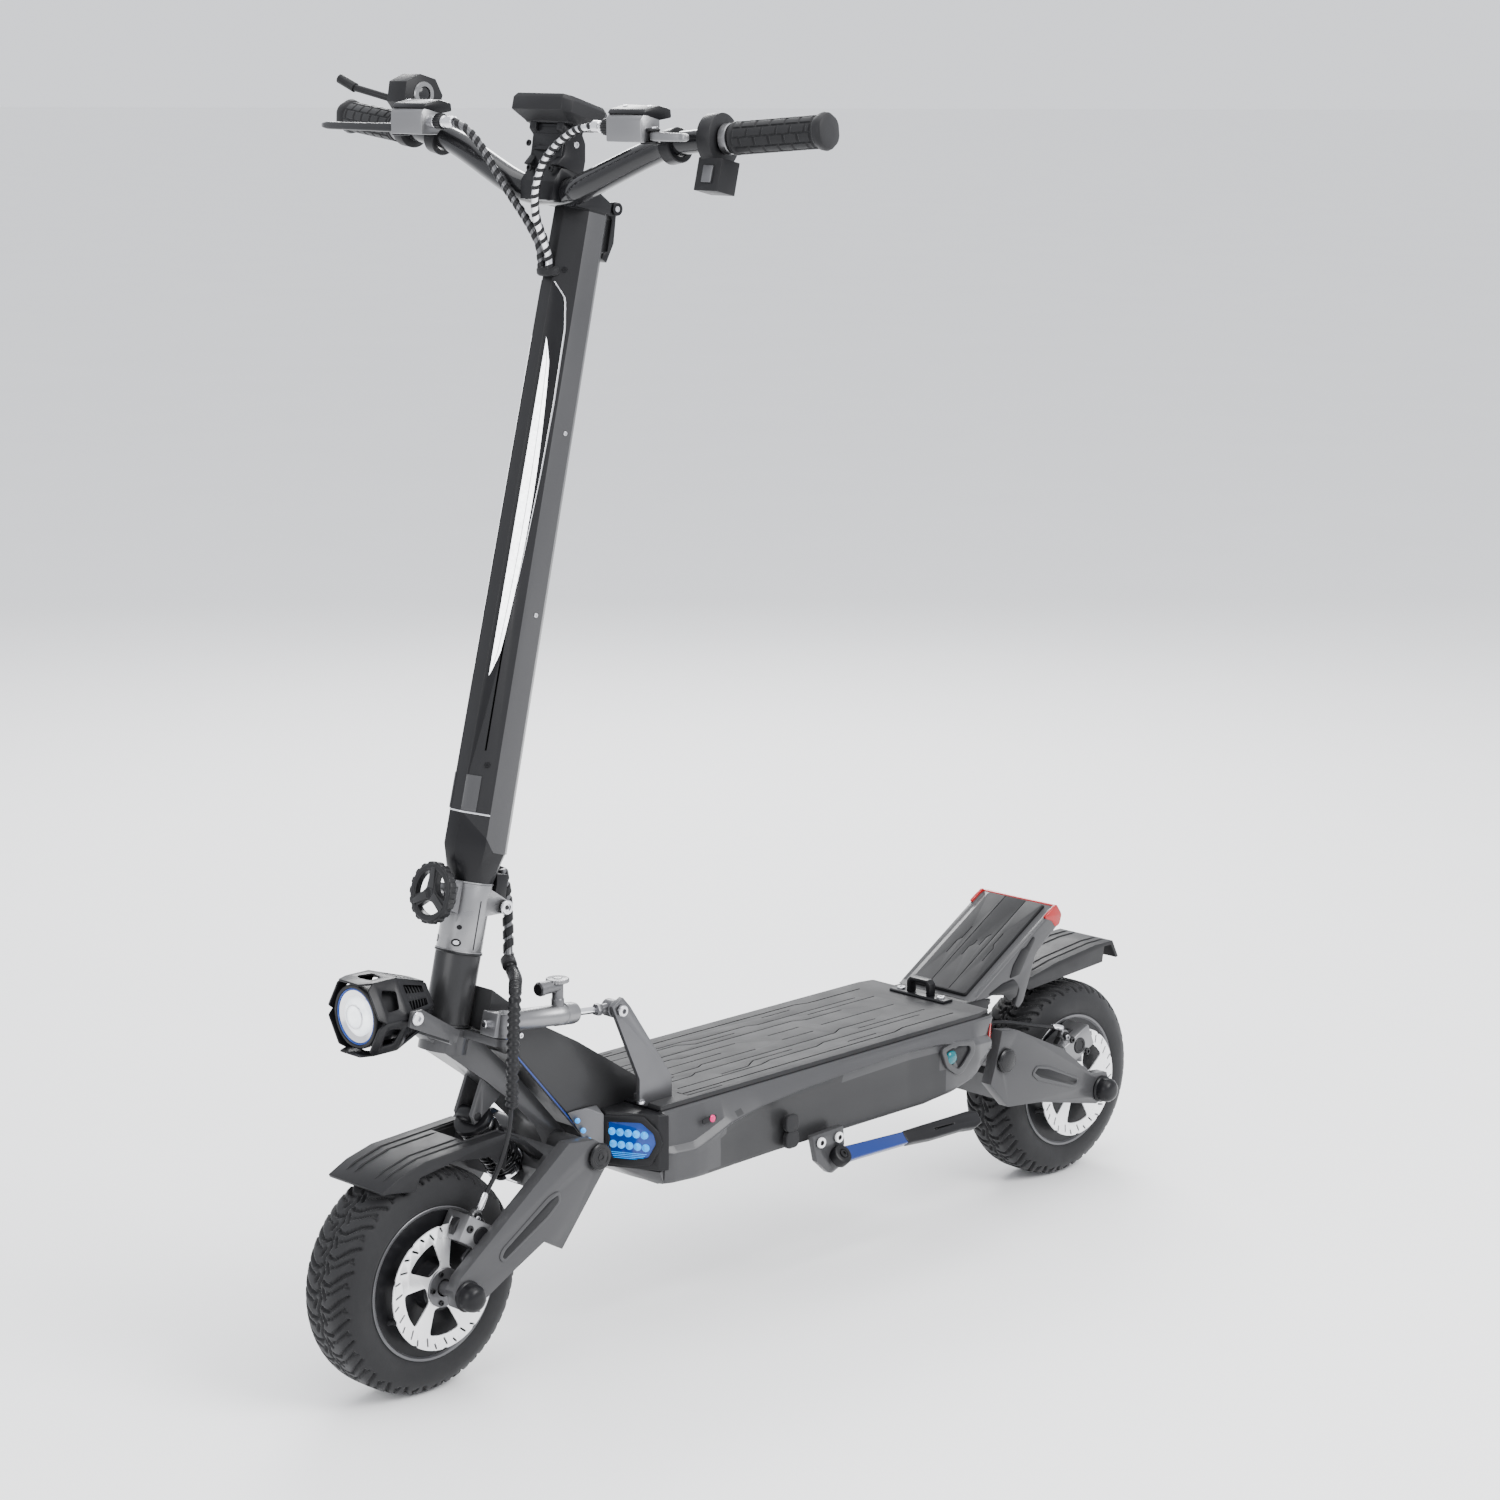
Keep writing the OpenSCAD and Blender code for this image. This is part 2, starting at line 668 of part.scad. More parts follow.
module handlebar() {
    p = bar_points;
    r = [bar_centre_d / 2 - 0.2, bar_centre_d / 2 - 1, bar_d / 2 + 1.5, bar_d / 2];
    color("dimgray") in_rake() both_sides() {
        rod_between([-0.01, p[0][1], p[0][2]], [28, p[0][1], p[0][2]], bar_centre_d / 2);
        rod_between([28, p[0][1], p[0][2]], past(p[0], p[1], bend_run), r[0]);
        for (i = [1 : 3])
            rod_between(past(p[i + 1], p[i], bend_run), past(p[i], p[i + 1], i == 3 ? 0 : bend_run), r[i]);
    }
}

module grips() {
    t = (bar_points[4] - bar_points[3]) / norm(bar_points[4] - bar_points[3]);
    p = bar_points[4];
    color("black") in_rake() both_sides() difference() {
        rod_between(p - t * grip_len, p + t * 4, grip_d / 2);
        rod_between(p - t * (grip_len + 1), p + t * 0.1, bar_d / 2 + run);
    }
}

module bar_clamp() {
    c = [bar_points[0][1], bar_points[0][2]];
    color("black") in_rake() difference() {
        union() {
            translate([0, 0, stem_top]) linear_extrude(14) stem_section(0.98);
            side_plate(-26, 26, [
                [18, stem_top + 2], [18, stem_top + 14], c + [6, 24], c + [-16, 22], c + [-24, 6],
                c + [-20, -13], c + [4, -13], [-16, stem_top + 2]
            ]);
            // ears for the fold hook
            both_sides() side_plate(8, 13, [
                [16, stem_top + 2], [16, stem_top + 14], hook_at + [0, 8], hook_at + [7, 5],
                hook_at + [8, -4], hook_at + [1, -8]
            ]);
            // upright that carries the display
            side_plate(-24, 24, [c + [-16, 20], c + [-20, 68], c + [8, 68], c + [8, 22]]);
        }
        cross_rod(-30, 30, c, bar_centre_d / 2 + run);
        cross_rod(-14, 14, hook_at, 4 + run);
    }
}

display_z = stem_top + 82;
module display() {
    color([0.2, 0.2, 0.2]) in_rake() difference() {
        side_plate(-44, 44, [
            [-86, display_z + 6], [-91, display_z + 25], [-80, display_z + 28], [-31, display_z + 25],
            [-20, display_z + 8], [-34, display_z], [-70, display_z]
        ]);
        side_plate(-34, 34, [
            [-74, display_z + 26.5], [-38, display_z + 24.3], [-38, display_z + 32], [-74, display_z + 32]
        ]);
    }
}

// Centre of the right brake body's block; the left one is its mirror image
master_at = raked(-105, stem_top + 73);
master_x = 172;

lever_pivot = [master_x + 31, master_at[0], master_at[1] - 8];
pin_r = 2.5;
module brake_masters() {
    m = master_at;
    v = lever_pivot;
    color("gray") both_sides() {
        translate([master_x - 26, m[0] - 14, m[1] - 15]) cube([52, 28, 30]);
        rod_between([master_x - 62, m[0] + 2, m[1]], [master_x - 26, m[0] + 2, m[1]], 6.5);
        for (z = [5 + gap, -8 - gap]) translate([v[0], v[1], v[2] + z]) {
            cylinder(h = 3, r = 5);
            translate([-9, -5, 0]) cube([9, 10, 3]);
        }
        translate([v[0], v[1], v[2] - 6]) cylinder(h = 12, r = pin_r);
    }
    // clamps that seat the bodies on the bar
    color("gray") both_sides() difference() {
        translate([master_x + 3, m[0] + 14, m[1] - 38]) cube([20, 50, 38]);
        in_rake() rod_between(bar_points[2], bar_points[3], bar_d / 2 + 1.5 + run);
    }
}

// Blade of a brake lever, lying along +X from its pivot
module lever_blade(len) {
    difference() {
        union() {
            translate([0, 0, -5]) cylinder(h = 10, r = 4.5);
            translate([0, -6, -5]) cube([len - 6, 9, 10]);
            translate([len - 6, -1.5, -5]) cylinder(h = 10, r = 4.5);
        }
        translate([0, 0, -6]) cylinder(h = 12, r = pin_r + run);
        translate([12, -7, -2]) cube([len - 40, 3, 4]);
    }
}

module brake_lever_left() {
    color("silver") translate(lever_pivot) lever_blade(50);
}

module brake_lever_right() {
    color([0.3, 0.3, 0.3]) mirror([1, 0, 0]) translate(lever_pivot) lever_blade(132);
}

// Line of the bar under the right grip, and the throttle's barrel beside it
throttle_at = [-262, -30 + master_at[0] + 94, master_at[1] + 23];
module throttle_body() {
    t = throttle_at;
    color([0.2, 0.2, 0.2]) {
        difference() {
            union() {
                translate([t[0], t[1], t[2]]) rotate([0, 90, 0]) rotate([0, 0, 90]) linear_extrude(30)
                    polygon([[-30, -4], [-26, 18], [-6, 26], [16, 20], [26, 2], [20, -14], [-20, -16]]);
                in_rake() mirror([1, 0, 0])
                    rod_between(bar_points[3] + [24, 3, 2.4], bar_points[3] + [40, 5, 4.2], 19);
            }
            in_rake() mirror([1, 0, 0]) rod_between(bar_points[3], bar_points[4], bar_d / 2 + run);
        }
    }
}

module throttle_lever() {
    t = throttle_at;
    color("silver") {
        translate([t[0] - gap - 12, t[1] - 6, t[2]]) rotate([0, 90, 0]) cylinder(h = 12, r = 13);
        rod_between(t + [-6, -16, -2], t + [-50, -34, 10], 4);
        rod_between(t + [-50, -34, 10], t + [-72, -38, 20], 5.5);
    }
}

// Distance of the switch ring from the bar's last bend
ring_s = 25;
module switch_pod() {
    b = bar_points[3];
    t = (bar_points[4] - b) / norm(bar_points[4] - b);
    color([0.15, 0.15, 0.15]) in_rake() difference() {
        union() {
            rod_between(b + t * ring_s, b + t * (ring_s + 16), 27);
            translate(b + t * ring_s + [0, -14, -54]) cube([34, 26, 34]);
        }
        rod_between(b, b + t * 60, bar_d / 2 + run);
        translate(b + t * ring_s + [10, -15, -46]) cube([14, 5.5, 18]);
    }
}

module switch_button() {
    b = bar_points[3];
    t = (bar_points[4] - b) / norm(bar_points[4] - b);
    color("red") in_rake() translate(b + t * ring_s + [10 + gap, -16, -46 + gap])
        cube([14 - 2 * gap, 4 - gap, 18 - 2 * gap]);
}

// A hose as one tube swept along points, with eight sides
module hose(points, r) {
    n = len(points);
    dirs = [for (i = [0:n - 1]) let (a = points[max(i - 1, 0)], b = points[min(i + 1, n - 1)])
        (b - a) / norm(b - a)];
    rings = [for (i = [0:n - 1]) let (
            d = dirs[i],
            side = cross(d, [1, 0, 0.013]) / norm(cross(d, [1, 0, 0.013])),
            up = cross(side, d)
        ) for (k = [0:7]) points[i] + r * (cos(k * 45) * side + sin(k * 45) * up)];
    faces = concat(
        [[for (k = [0:7]) 7 - k]],
        [for (i = [0:n - 2]) for (k = [0:7])
            [i * 8 + k, i * 8 + (k + 1) % 8, (i + 1) * 8 + (k + 1) % 8, (i + 1) * 8 + k]],
        [[for (k = [0:7]) (n - 1) * 8 + k]]
    );
    polyhedron(points = rings, faces = faces, convexity = 6);
}

// Both control hoses, from the brake bodies to the stem's front
module stem_harness() {
    f = stem_depth / 2;
    color("black") in_rake() {
        hose([[-108, -104, stem_top + 73], [-92, -98, stem_top + 66], [-74, -88, stem_top + 48],
            [-56, -78, stem_top + 24], [-38, -68, stem_top + 2], [-20, -58, stem_top - 20],
            [-9, -f - 14, stem_top - 42], [-7, -f - 8, stem_top - 58], [-6, -f - 5.4, stem_top - 70]], 4.5);
        hose([[108, -104, stem_top + 73], [84, -104, stem_top + 68], [56, -100, stem_top + 54],
            [32, -94, stem_top + 34], [16, -84, stem_top + 8], [8, -70, stem_top - 18],
            [6, -f - 18, stem_top - 42], [6, -f - 9, stem_top - 56], [6, -f - 5.4, stem_top - 70]], 4.5);
    }
}

hook_at = [stem_depth / 2 + 6, stem_top + 12];
module fold_hook() {
    color("black") in_rake() {
        cross_rod(-13, 13, hook_at, 4);
        side_plate(-6, 6, [
            hook_at + [-4, 0], hook_at + [0, 6], hook_at + [7, 2], hook_at + [11, -36],
            hook_at + [5, -58], hook_at + [-3, -55], hook_at + [-1, -49], hook_at + [4, -46],
            hook_at + [3, -12]
        ]);
    }
}

// ---- wheels --------------------------------------------------------------

module tyre_at(axle) {
    t = tyre_w / 2;
    f = tread_flat / 2;
    wall = 7;
    half = [[tyre_r, f], [tyre_r - 3.5, f + 9], [tyre_r - 11, t - 4], [tyre_r - 22, t],
        [tyre_r - 34, t - 1], [rim_r, 32]];
    inner = [[rim_r, 24], [tyre_r - 34, t - wall - 1], [tyre_r - 22, t - wall], [tyre_r - 12, t - 14],
        [tyre_r - 9, f]];
    color([0.15, 0.15, 0.15]) translate([0, axle[0], axle[1]]) rotate([0, 90, 0]) rotate_extrude($fn = 96)
        polygon(concat(
            [for (p = half) p], [for (p = inner) p],
            [for (i = [len(inner) - 1:-1:0]) [inner[i][0], -inner[i][1]]],
            [for (i = [len(half) - 1:-1:0]) [half[i][0], -half[i][1]]]
        ));
}

module hub_at(axle) {
    b = 17;
    color("gray") translate([0, axle[0], axle[1]]) rotate([0, 90, 0]) difference() {
        rotate_extrude($fn = 96) polygon([
            [b, -32], [rim_r - 12, -32], [rim_r - 4, -36], [rim_r - 0.01, -36], [rim_r - 0.01, 36],
            [rim_r - 4, 36], [rim_r - 12, 32], [28, 32], [26, rotor_x], [b, rotor_x],
            [b, 27], [rim_r - 10, 27], [rim_r - 10, -27], [b, -27]
        ]);
    }
    color("silver") for (x = [-32, 27]) difference() {
        cross_rod(x, x + 5, axle, b - part_line);
        cross_rod(x - 1, x + 6, axle, axle_r + run);
    }
}

module rotor_at(axle) {
    color("silver") translate([rotor_x, axle[0], axle[1]]) rotate([0, 90, 0]) difference() {
        cylinder(h = rotor_t, r = rotor_d / 2, $fn = 96);
        translate([0, 0, -1]) cylinder(h = rotor_t + 2, r = 18);
        for (a = [0:72:288]) rotate([0, 0, a]) translate([0, 0, -1]) linear_extrude(rotor_t + 2)
            polygon([[30, -10], [rotor_d / 2 - 22, -19], [rotor_d / 2 - 18, 0],
                [rotor_d / 2 - 22, 19], [30, 2]]);
    }
}

module motor_core_at(axle) {
    color("silver") {
        cross_rod(-arm_out, arm_out, axle, axle_r);
        both_sides() cross_rod(arm_out, arm_out + cap_len, axle, axle_r + 6);
    }
    color("orange") difference() {
        cross_rod(-16, 16, axle, rim_r - 14);
        cross_rod(-17, 17, axle, axle_r + part_line);
    }
}

// Caliper that straddles the rotor at an angle above the axle, joined to the arm
module caliper_at(axle, angle) {
    translate([0, axle[0], axle[1]]) rotate([angle, 0, 0]) {
        color([0.2, 0.2, 0.2]) difference() {
            translate([rotor_x - 11, -26, rotor_d / 2 - 20]) cube([arm_in - rotor_x + 11, 52, 30]);
            translate([rotor_x - 1, -27, rotor_d / 2 - 30]) cube([rotor_t + 2, 54, 32.5]);
        }
        color("silver") for (y = [-18, 18])
            translate([arm_in - 8, y, rotor_d / 2 - 5]) rotate([0, -90, 0])
                translate([0, 0, -2]) cylinder(h = 1, r = 4);
    }
}

module front_tyre() { tyre_at(front_axle); }
module front_hub() { hub_at(front_axle); }
module front_rotor() { rotor_at(front_axle); }
module front_motor_core() { motor_core_at(front_axle); }
module front_caliper() { caliper_at(front_axle, -32); }
module rear_tyre() { tyre_at(rear_axle); }
module rear_hub() { hub_at(rear_axle); }
module rear_rotor() { rotor_at(rear_axle); }
module rear_motor_core() { motor_core_at(rear_axle); }
module rear_caliper() { caliper_at(rear_axle, 24); }

// ---- suspension ----------------------------------------------------------

module front_swingarm() {
    p = front_pivot;
    a = front_axle;
    color("gray") difference() {
        union() {
            both_sides() side_plate(arm_in, arm_out, [
                a + [-16, 8], a + [-8, 22], p + [-43, 24], p + [-5, 20], p + [16, 6], p + [15, -10],
                p + [-10, -40], p + [-55, -94], p + [-81, -79], a + [60, 8], a + [30, -8],
                a + [8, -17], a + [-12, -12]
            ]);
            difference() {
                side_plate(-arm_in, arm_in, [p + [-54, -12], p + [-30, 9], p + [-24, -18], p + [-44, -42]]);
                line_rod(front_shock_foot, front_shock_top, 8, 60, spring_r + 3);
                cross_rod(-10.4, 10.4, front_shock_foot, 10);
            }
            both_sides() side_plate(10.5, 15, [
                front_shock_foot + [-9, -4], front_shock_foot + [-5, 8], front_shock_foot + [6, 8],
                p + [-26, -20], p + [-44, -40]
            ]);
            // bosses that centre the arm on the fork's knuckle
            both_sides() cross_rod(fork_arm_w / 2 + gap, arm_in, p, 14);
            // pin that the shock's foot sits on
            cross_rod(-15, 15, front_shock_foot, 5);
        }
        cross_rod(-120, 120, p, pivot_r + run);
        cross_rod(-120, 120, a, axle_r);
    }
}

module rear_swingarm() {
    p = rear_pivot;
    a = rear_axle;
    color("gray") difference() {
        union() {
            both_sides() side_plate(arm_in, arm_out, [
                p + [-14, 10], p + [-6, 39], p + [24, 34], p + [112, -8], a + [-20, 24], a + [10, 20],
                a + [17, 4], a + [12, -14], a + [-10, -18], a + [-120, 8], p + [8, -62],
                p + [-26, -26], p + [-18, -4]
            ]);
            difference() {
                side_plate(-arm_in, arm_in, [
                    p + [20, -6], p + [44, -22], p + [38, -50], p + [12, -58], p + [4, -26]
                ]);
                line_rod(rear_shock_foot, rear_shock_top, 8, 60, spring_r + 3);
                cross_rod(-10.4, 10.4, rear_shock_foot, 10);
            }
            both_sides() side_plate(10.5, 15, [
                rear_shock_foot + [-9, 2], rear_shock_foot + [-4, 9], rear_shock_foot + [9, 3],
                p + [42, -26], p + [12, -36]
            ]);
            both_sides() cross_rod(44 + gap, arm_in, p, 14);
            // pin that the shock's foot sits on
            cross_rod(-15, 15, rear_shock_foot, 5);
        }
        cross_rod(-120, 120, p, pivot_r + run);
        cross_rod(-120, 120, a, axle_r);
    }
}

// Top line of the front fender, from its tip to its rear tail
fender_top = [
    front_axle + [-76, 122.5], front_axle + [-51, 134.5], front_axle + [-16, 143.5],
    front_axle + [98, 149.5], front_axle + [127, 135]
];

module front_fender() {
    a = front_axle;
    p = front_pivot;
    foot0 = between(p + [-54, -12], p + [-30, 9], 0.35);
    foot1 = between(p + [-54, -12], p + [-30, 9], 0.6);
    color("black") difference() {
        union() {
            side_plate(-46, 46, concat(fender_top, [
                foot1, foot0, a + [123, 131], a + [97, 145], a + [-16, 139], a + [-50, 130], a + [-74, 118.5]
            ]));
            both_sides() side_plate(42, 46, [
                a + [-74, 120], a + [-50, 132], a + [-16, 141], a + [97, 147], a + [104, 144],
                a + [97, 107], a + [75, 128], a + [25, 134], a + [-24, 127], a + [-29, 113]
            ]);
        }
        // notch that the shock stands in
        side_plate(-27, 27, [a + [55, 60], a + [160, 60], a + [160, 160], a + [55, 160]]);
    }
}

rear_shock_top = rear_pivot + [46, 62];
rear_shock_foot = rear_pivot + [26, -22];

// Shock absorber from its top eye to its foot: body, rod and spring
module shock_body(top, foot) {
    color("black") difference() {
        union() {
            cross_rod(-10, 10, top, 9.5);
            line_rod(top, foot, 6, 13, spring_r);
            line_rod(top, foot, 6, 44, 13);
        }
        cross_rod(-12, 12, top, 5);
        line_rod(top, foot, 18, 60, 5 + run);
    }
    color("silver") cross_rod(-15, 15, top, 5);
}

module shock_rod(top, foot) {
    l = norm(foot - top);
    color("silver") difference() {
        union() {
            cross_rod(-10, 10, foot, 9);
            line_rod(top, foot, 26, l - 4, 5);
            line_rod(top, foot, l - 19, l - 13, spring_r);
        }
        cross_rod(-12, 12, foot, 5 + 0.8);
    }
}

module shock_spring(top, foot) {
    l = norm(foot - top);
    color("black") difference() {
        line_rod(top, foot, 13 + gap, l - 19 - gap, spring_r - 1);
        line_rod(top, foot, 12, l - 18, spring_r - 6);
    }
}

module front_shock_body() { shock_body(front_shock_top, front_shock_foot); }
module front_shock_rod() { shock_rod(front_shock_top, front_shock_foot); }
module front_spring() { shock_spring(front_shock_top, front_shock_foot); }
module rear_shock_body() { shock_body(rear_shock_top, rear_shock_foot); }
module rear_shock_rod() { shock_rod(rear_shock_top, rear_shock_foot); }
module rear_spring() { shock_spring(rear_shock_top, rear_shock_foot); }

// ---- steering damper -----------------------------------------------------

damper_dir = towards(damper_front, damper_ball);

module damper_body() {
    f = damper_front;
    d = damper_dir;
    color("silver") difference() {
        union() {
            rod_between([damper_x, f[0] - d[0] * 12, f[1] - d[1] * 12],
                [damper_x, f[0] + d[0] * 112, f[1] + d[1] * 112], 12);
            in_rake() translate([damper_x - 12, damper_yl - 13, -head_tube_len]) cube([24, 26, 30]);
            translate([damper_x, f[0] + 86, f[1] + 4]) cylinder(h = 34, r = 6.5);
            translate([damper_x, f[0] + 92, f[1] + 37]) cylinder(h = 4, r = 13);
            translate([damper_x, f[0] + 60, f[1] + 25]) rotate([-90, 0, 0]) cylinder(h = 30, r = 7.5);
        }
        rod_between([damper_x, f[0] - d[0] * 40, f[1] - d[1] * 40],
            [damper_x, f[0] + d[0] * 130, f[1] + d[1] * 130], 4 + run);
        in_rake() translate([damper_x, damper_yl, -head_tube_len - 1]) cylinder(h = 11.8, r = 5 + run);
    }
}

module damper_rod() {
    f = damper_front;
    l = norm(damper_ball - f);
    color("silver") {
        rod_between([damper_x, f[0] - damper_dir[0] * 22, f[1] - damper_dir[1] * 22],
            [damper_x, f[0] + damper_dir[0] * (l - 8), f[1] + damper_dir[1] * (l - 8)], 4);
        cross_rod(damper_x - 7, bracket_x - gap, damper_ball, 10);
    }
}

deck_tub();
deck_lid();
deck_mat();
side_covers();
nose_bezel();
marker_lights();
neck();
battery_pack();
motor_controllers();
kick_tail();
latch_loop();
damper_bracket();
stand_bracket();
rear_fender();
rear_pivot_bolt();
fork_arm();
fold_collar();
pivot_pins();
stem_tube();
stem_boot();
stem_light_panels();
bar_clamp();
handlebar();
grips();
brake_masters();
throttle_body();
switch_pod();
display();
stem_harness();
fold_hook();
brake_lever_left();
brake_lever_right();
throttle_lever();
switch_button();
clamp_knob();
headlight();
front_swingarm();
front_fender();
front_caliper();
front_motor_core();
front_tyre();
front_hub();
front_rotor();
rear_swingarm();
rear_caliper();
rear_motor_core();
rear_tyre();
rear_hub();
rear_rotor();
front_shock_body();
front_shock_rod();
front_spring();
rear_shock_body();
rear_shock_rod();
rear_spring();
damper_body();
damper_rod();
kickstand();
port_cap_upper();
port_cap_lower();
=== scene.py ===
"""Electric kick scooter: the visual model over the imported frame."""
import bpy, bmesh, json
import numpy as np
from math import sin, cos, pi, radians, atan2, sqrt
from mathutils import Vector, Matrix

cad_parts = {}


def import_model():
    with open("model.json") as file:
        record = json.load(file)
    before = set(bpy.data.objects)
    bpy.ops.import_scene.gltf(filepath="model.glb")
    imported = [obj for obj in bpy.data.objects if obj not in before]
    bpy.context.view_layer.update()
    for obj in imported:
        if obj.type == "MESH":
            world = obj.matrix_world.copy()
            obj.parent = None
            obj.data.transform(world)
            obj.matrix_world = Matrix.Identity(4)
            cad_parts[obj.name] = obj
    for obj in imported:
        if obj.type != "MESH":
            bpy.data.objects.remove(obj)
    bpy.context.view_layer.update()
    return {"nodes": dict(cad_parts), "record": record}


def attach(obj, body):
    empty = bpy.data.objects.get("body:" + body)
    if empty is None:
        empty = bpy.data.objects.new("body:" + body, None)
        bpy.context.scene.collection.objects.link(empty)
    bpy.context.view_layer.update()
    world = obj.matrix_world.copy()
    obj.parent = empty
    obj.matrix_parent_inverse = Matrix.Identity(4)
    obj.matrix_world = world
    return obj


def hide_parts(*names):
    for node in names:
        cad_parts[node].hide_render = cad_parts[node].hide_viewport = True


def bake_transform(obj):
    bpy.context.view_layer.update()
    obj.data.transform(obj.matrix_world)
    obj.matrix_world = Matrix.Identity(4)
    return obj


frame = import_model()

MM = 0.001
RAKE = radians(13.5)
HEAD = Vector((0, -462, 480))
FA, RA = Vector((0, -536, 127.5)), Vector((0, 536, 127.5))
FP, RP = Vector((0, -343, 240)), Vector((0, 345, 205))
IN_RAKE = Matrix.Translation(HEAD * MM) @ Matrix.Rotation(-RAKE, 4, "X")
node_body = {n: b for b, ns in frame["record"]["behaviour"]["bodies"].items() for n in ns}


def raked(x, yl, zl):
    """Point of the steering frame, in the scooter's frame, mm."""
    return Vector((x, HEAD.y + yl * cos(RAKE) + zl * sin(RAKE), HEAD.z - yl * sin(RAKE) + zl * cos(RAKE)))


# ---- materials -------------------------------------------------------------

def material(name, base, rough, metal=0.0, grain=900.0, bump=0.08, tint=0.12, patch=9.0, spread=0.08,
             coat=0.0, sheen=0.0, streak=None, depth=0.0004):
    """Base colour with soft patches, fine grain in the bump and uneven gloss."""
    m = bpy.data.materials.new(name)
    m.use_nodes = True
    nt = m.node_tree
    b = nt.nodes["Principled BSDF"]
    b.inputs["Metallic"].default_value = metal
    b.inputs["Coat Weight"].default_value = coat
    b.inputs["Sheen Weight"].default_value = sheen
    if metal < 0.2:
        b.inputs["Specular IOR Level"].default_value = 0.2
    tc = nt.nodes.new("ShaderNodeTexCoord")
    src = tc.outputs["Object"]
    if streak:
        mp = nt.nodes.new("ShaderNodeMapping")
        mp.inputs["Scale"].default_value = streak
        nt.links.new(src, mp.inputs[0])
        src = mp.outputs[0]

    def noise(scale, detail, vec):
        n = nt.nodes.new("ShaderNodeTexNoise")
        n.inputs["Scale"].default_value = scale
        n.inputs["Detail"].default_value = detail
        nt.links.new(vec, n.inputs["Vector"])
        return n.outputs["Fac"]

    def ramp(fac, lo, hi, a, c):
        r = nt.nodes.new("ShaderNodeMapRange")
        r.inputs[1].default_value, r.inputs[2].default_value = lo, hi
        r.inputs[3].default_value, r.inputs[4].default_value = a, c
        nt.links.new(fac, r.inputs[0])
        return r.outputs[0]

    broad = noise(patch, 4, tc.outputs["Object"])
    fine = noise(grain, 3, src)
    mix = nt.nodes.new("ShaderNodeMix")
    mix.data_type = "RGBA"
    dark = [c * (1 - tint) for c in base]
    light = [min(1, c * (1 + tint)) for c in base]
    mix.inputs[6].default_value = (*dark, 1)
    mix.inputs[7].default_value = (*light, 1)
    add = nt.nodes.new("ShaderNodeMath")
    add.operation = "MULTIPLY_ADD"
    nt.links.new(fine, add.inputs[0])
    add.inputs[1].default_value = 0.4
    nt.links.new(ramp(broad, 0.35, 0.65, 0.0, 0.6), add.inputs[2])
    nt.links.new(add.outputs[0], mix.inputs[0])
    nt.links.new(mix.outputs[2], b.inputs["Base Color"])
    nt.links.new(ramp(noise(patch * 3.1, 5, src), 0.3, 0.7, rough - spread / 2, rough + spread / 2),
                 b.inputs["Roughness"])
    bp = nt.nodes.new("ShaderNodeBump")
    bp.inputs["Strength"].default_value = bump
    bp.inputs["Distance"].default_value = depth
    nt.links.new(fine, bp.inputs["Height"])
    nt.links.new(bp.outputs[0], b.inputs["Normal"])
    return m


def glow(name, base, strength, rough=0.2, speck=260.0):
    """Lit lens with a faint uneven brightness."""
    m = material(name, base, rough, 0.0, speck, 0.12, 0.15, 60.0, 0.05, coat=0.5)
    nt = m.node_tree
    b = nt.nodes["Principled BSDF"]
    n = nt.nodes.new("ShaderNodeTexNoise")
    n.inputs["Scale"].default_value = speck
    tc = nt.nodes.new("ShaderNodeTexCoord")
    nt.links.new(tc.outputs["Object"], n.inputs["Vector"])
    r = nt.nodes.new("ShaderNodeMapRange")
    r.inputs[1].default_value, r.inputs[2].default_value = 0.3, 0.7
    r.inputs[3].default_value, r.inputs[4].default_value = strength * 0.7, strength * 1.2
    nt.links.new(n.outputs["Fac"], r.inputs[0])
    b.inputs["Emission Color"].default_value = (*base, 1)
    nt.links.new(r.outputs[0], b.inputs["Emission Strength"])
    return m


GREY = material("paint_grey", (0.050, 0.050, 0.052), 0.34, 0.19, 1400, 0.06, 0.06, 7, 0.08, coat=0.10)
MID = material("paint_mid", (0.026, 0.026, 0.027), 0.36, 0.19, 1400, 0.06, 0.07, 7, 0.08, coat=0.05)
DARK = material("paint_dark", (0.015, 0.015, 0.016), 0.36, 0.15, 1300, 0.07, 0.08, 8, 0.08, coat=0.05)
BLACK = material("paint_black", (0.006, 0.006, 0.007), 0.34, 0.0, 1200, 0.08, 0.15, 10, 0.1)
GLOSS = material("gloss_black", (0.010, 0.010, 0.011), 0.20, 0.1, 900, 0.03, 0.10, 8, 0.06, coat=0.4)
PLASTIC = material("moulded_black", (0.010, 0.010, 0.011), 0.45, 0.0, 700, 0.15, 0.12, 12, 0.1)
FENDER = material("fender_plastic", (0.012, 0.012, 0.013), 0.48, 0.0, 800, 0.16, 0.12, 11, 0.1)
RUBBER = material("rubber", (0.008, 0.008, 0.009), 0.58, 0.0, 500, 0.2, 0.15, 14, 0.1, sheen=0.08)
MATRUB = material("mat_rubber", (0.017, 0.017, 0.018), 0.62, 0.0, 650, 0.22, 0.10, 9, 0.08, sheen=0.05)
TYRE = material("tyre_rubber", (0.011, 0.011, 0.012), 0.60, 0.0, 420, 0.25, 0.16, 16, 0.1, sheen=0.08)
SILVER = material("satin_alloy", (0.20, 0.20, 0.205), 0.34, 0.85, 1600, 0.05, 0.07, 9, 0.1)
ALLOY = material("turned_alloy", (0.24, 0.24, 0.245), 0.32, 0.85, 500, 0.10, 0.08, 10, 0.12,
                 streak=(1, 1, 14))
GREYALLOY = material("grey_alloy", (0.11, 0.11, 0.115), 0.36, 0.7, 1400, 0.06, 0.08, 10, 0.1)
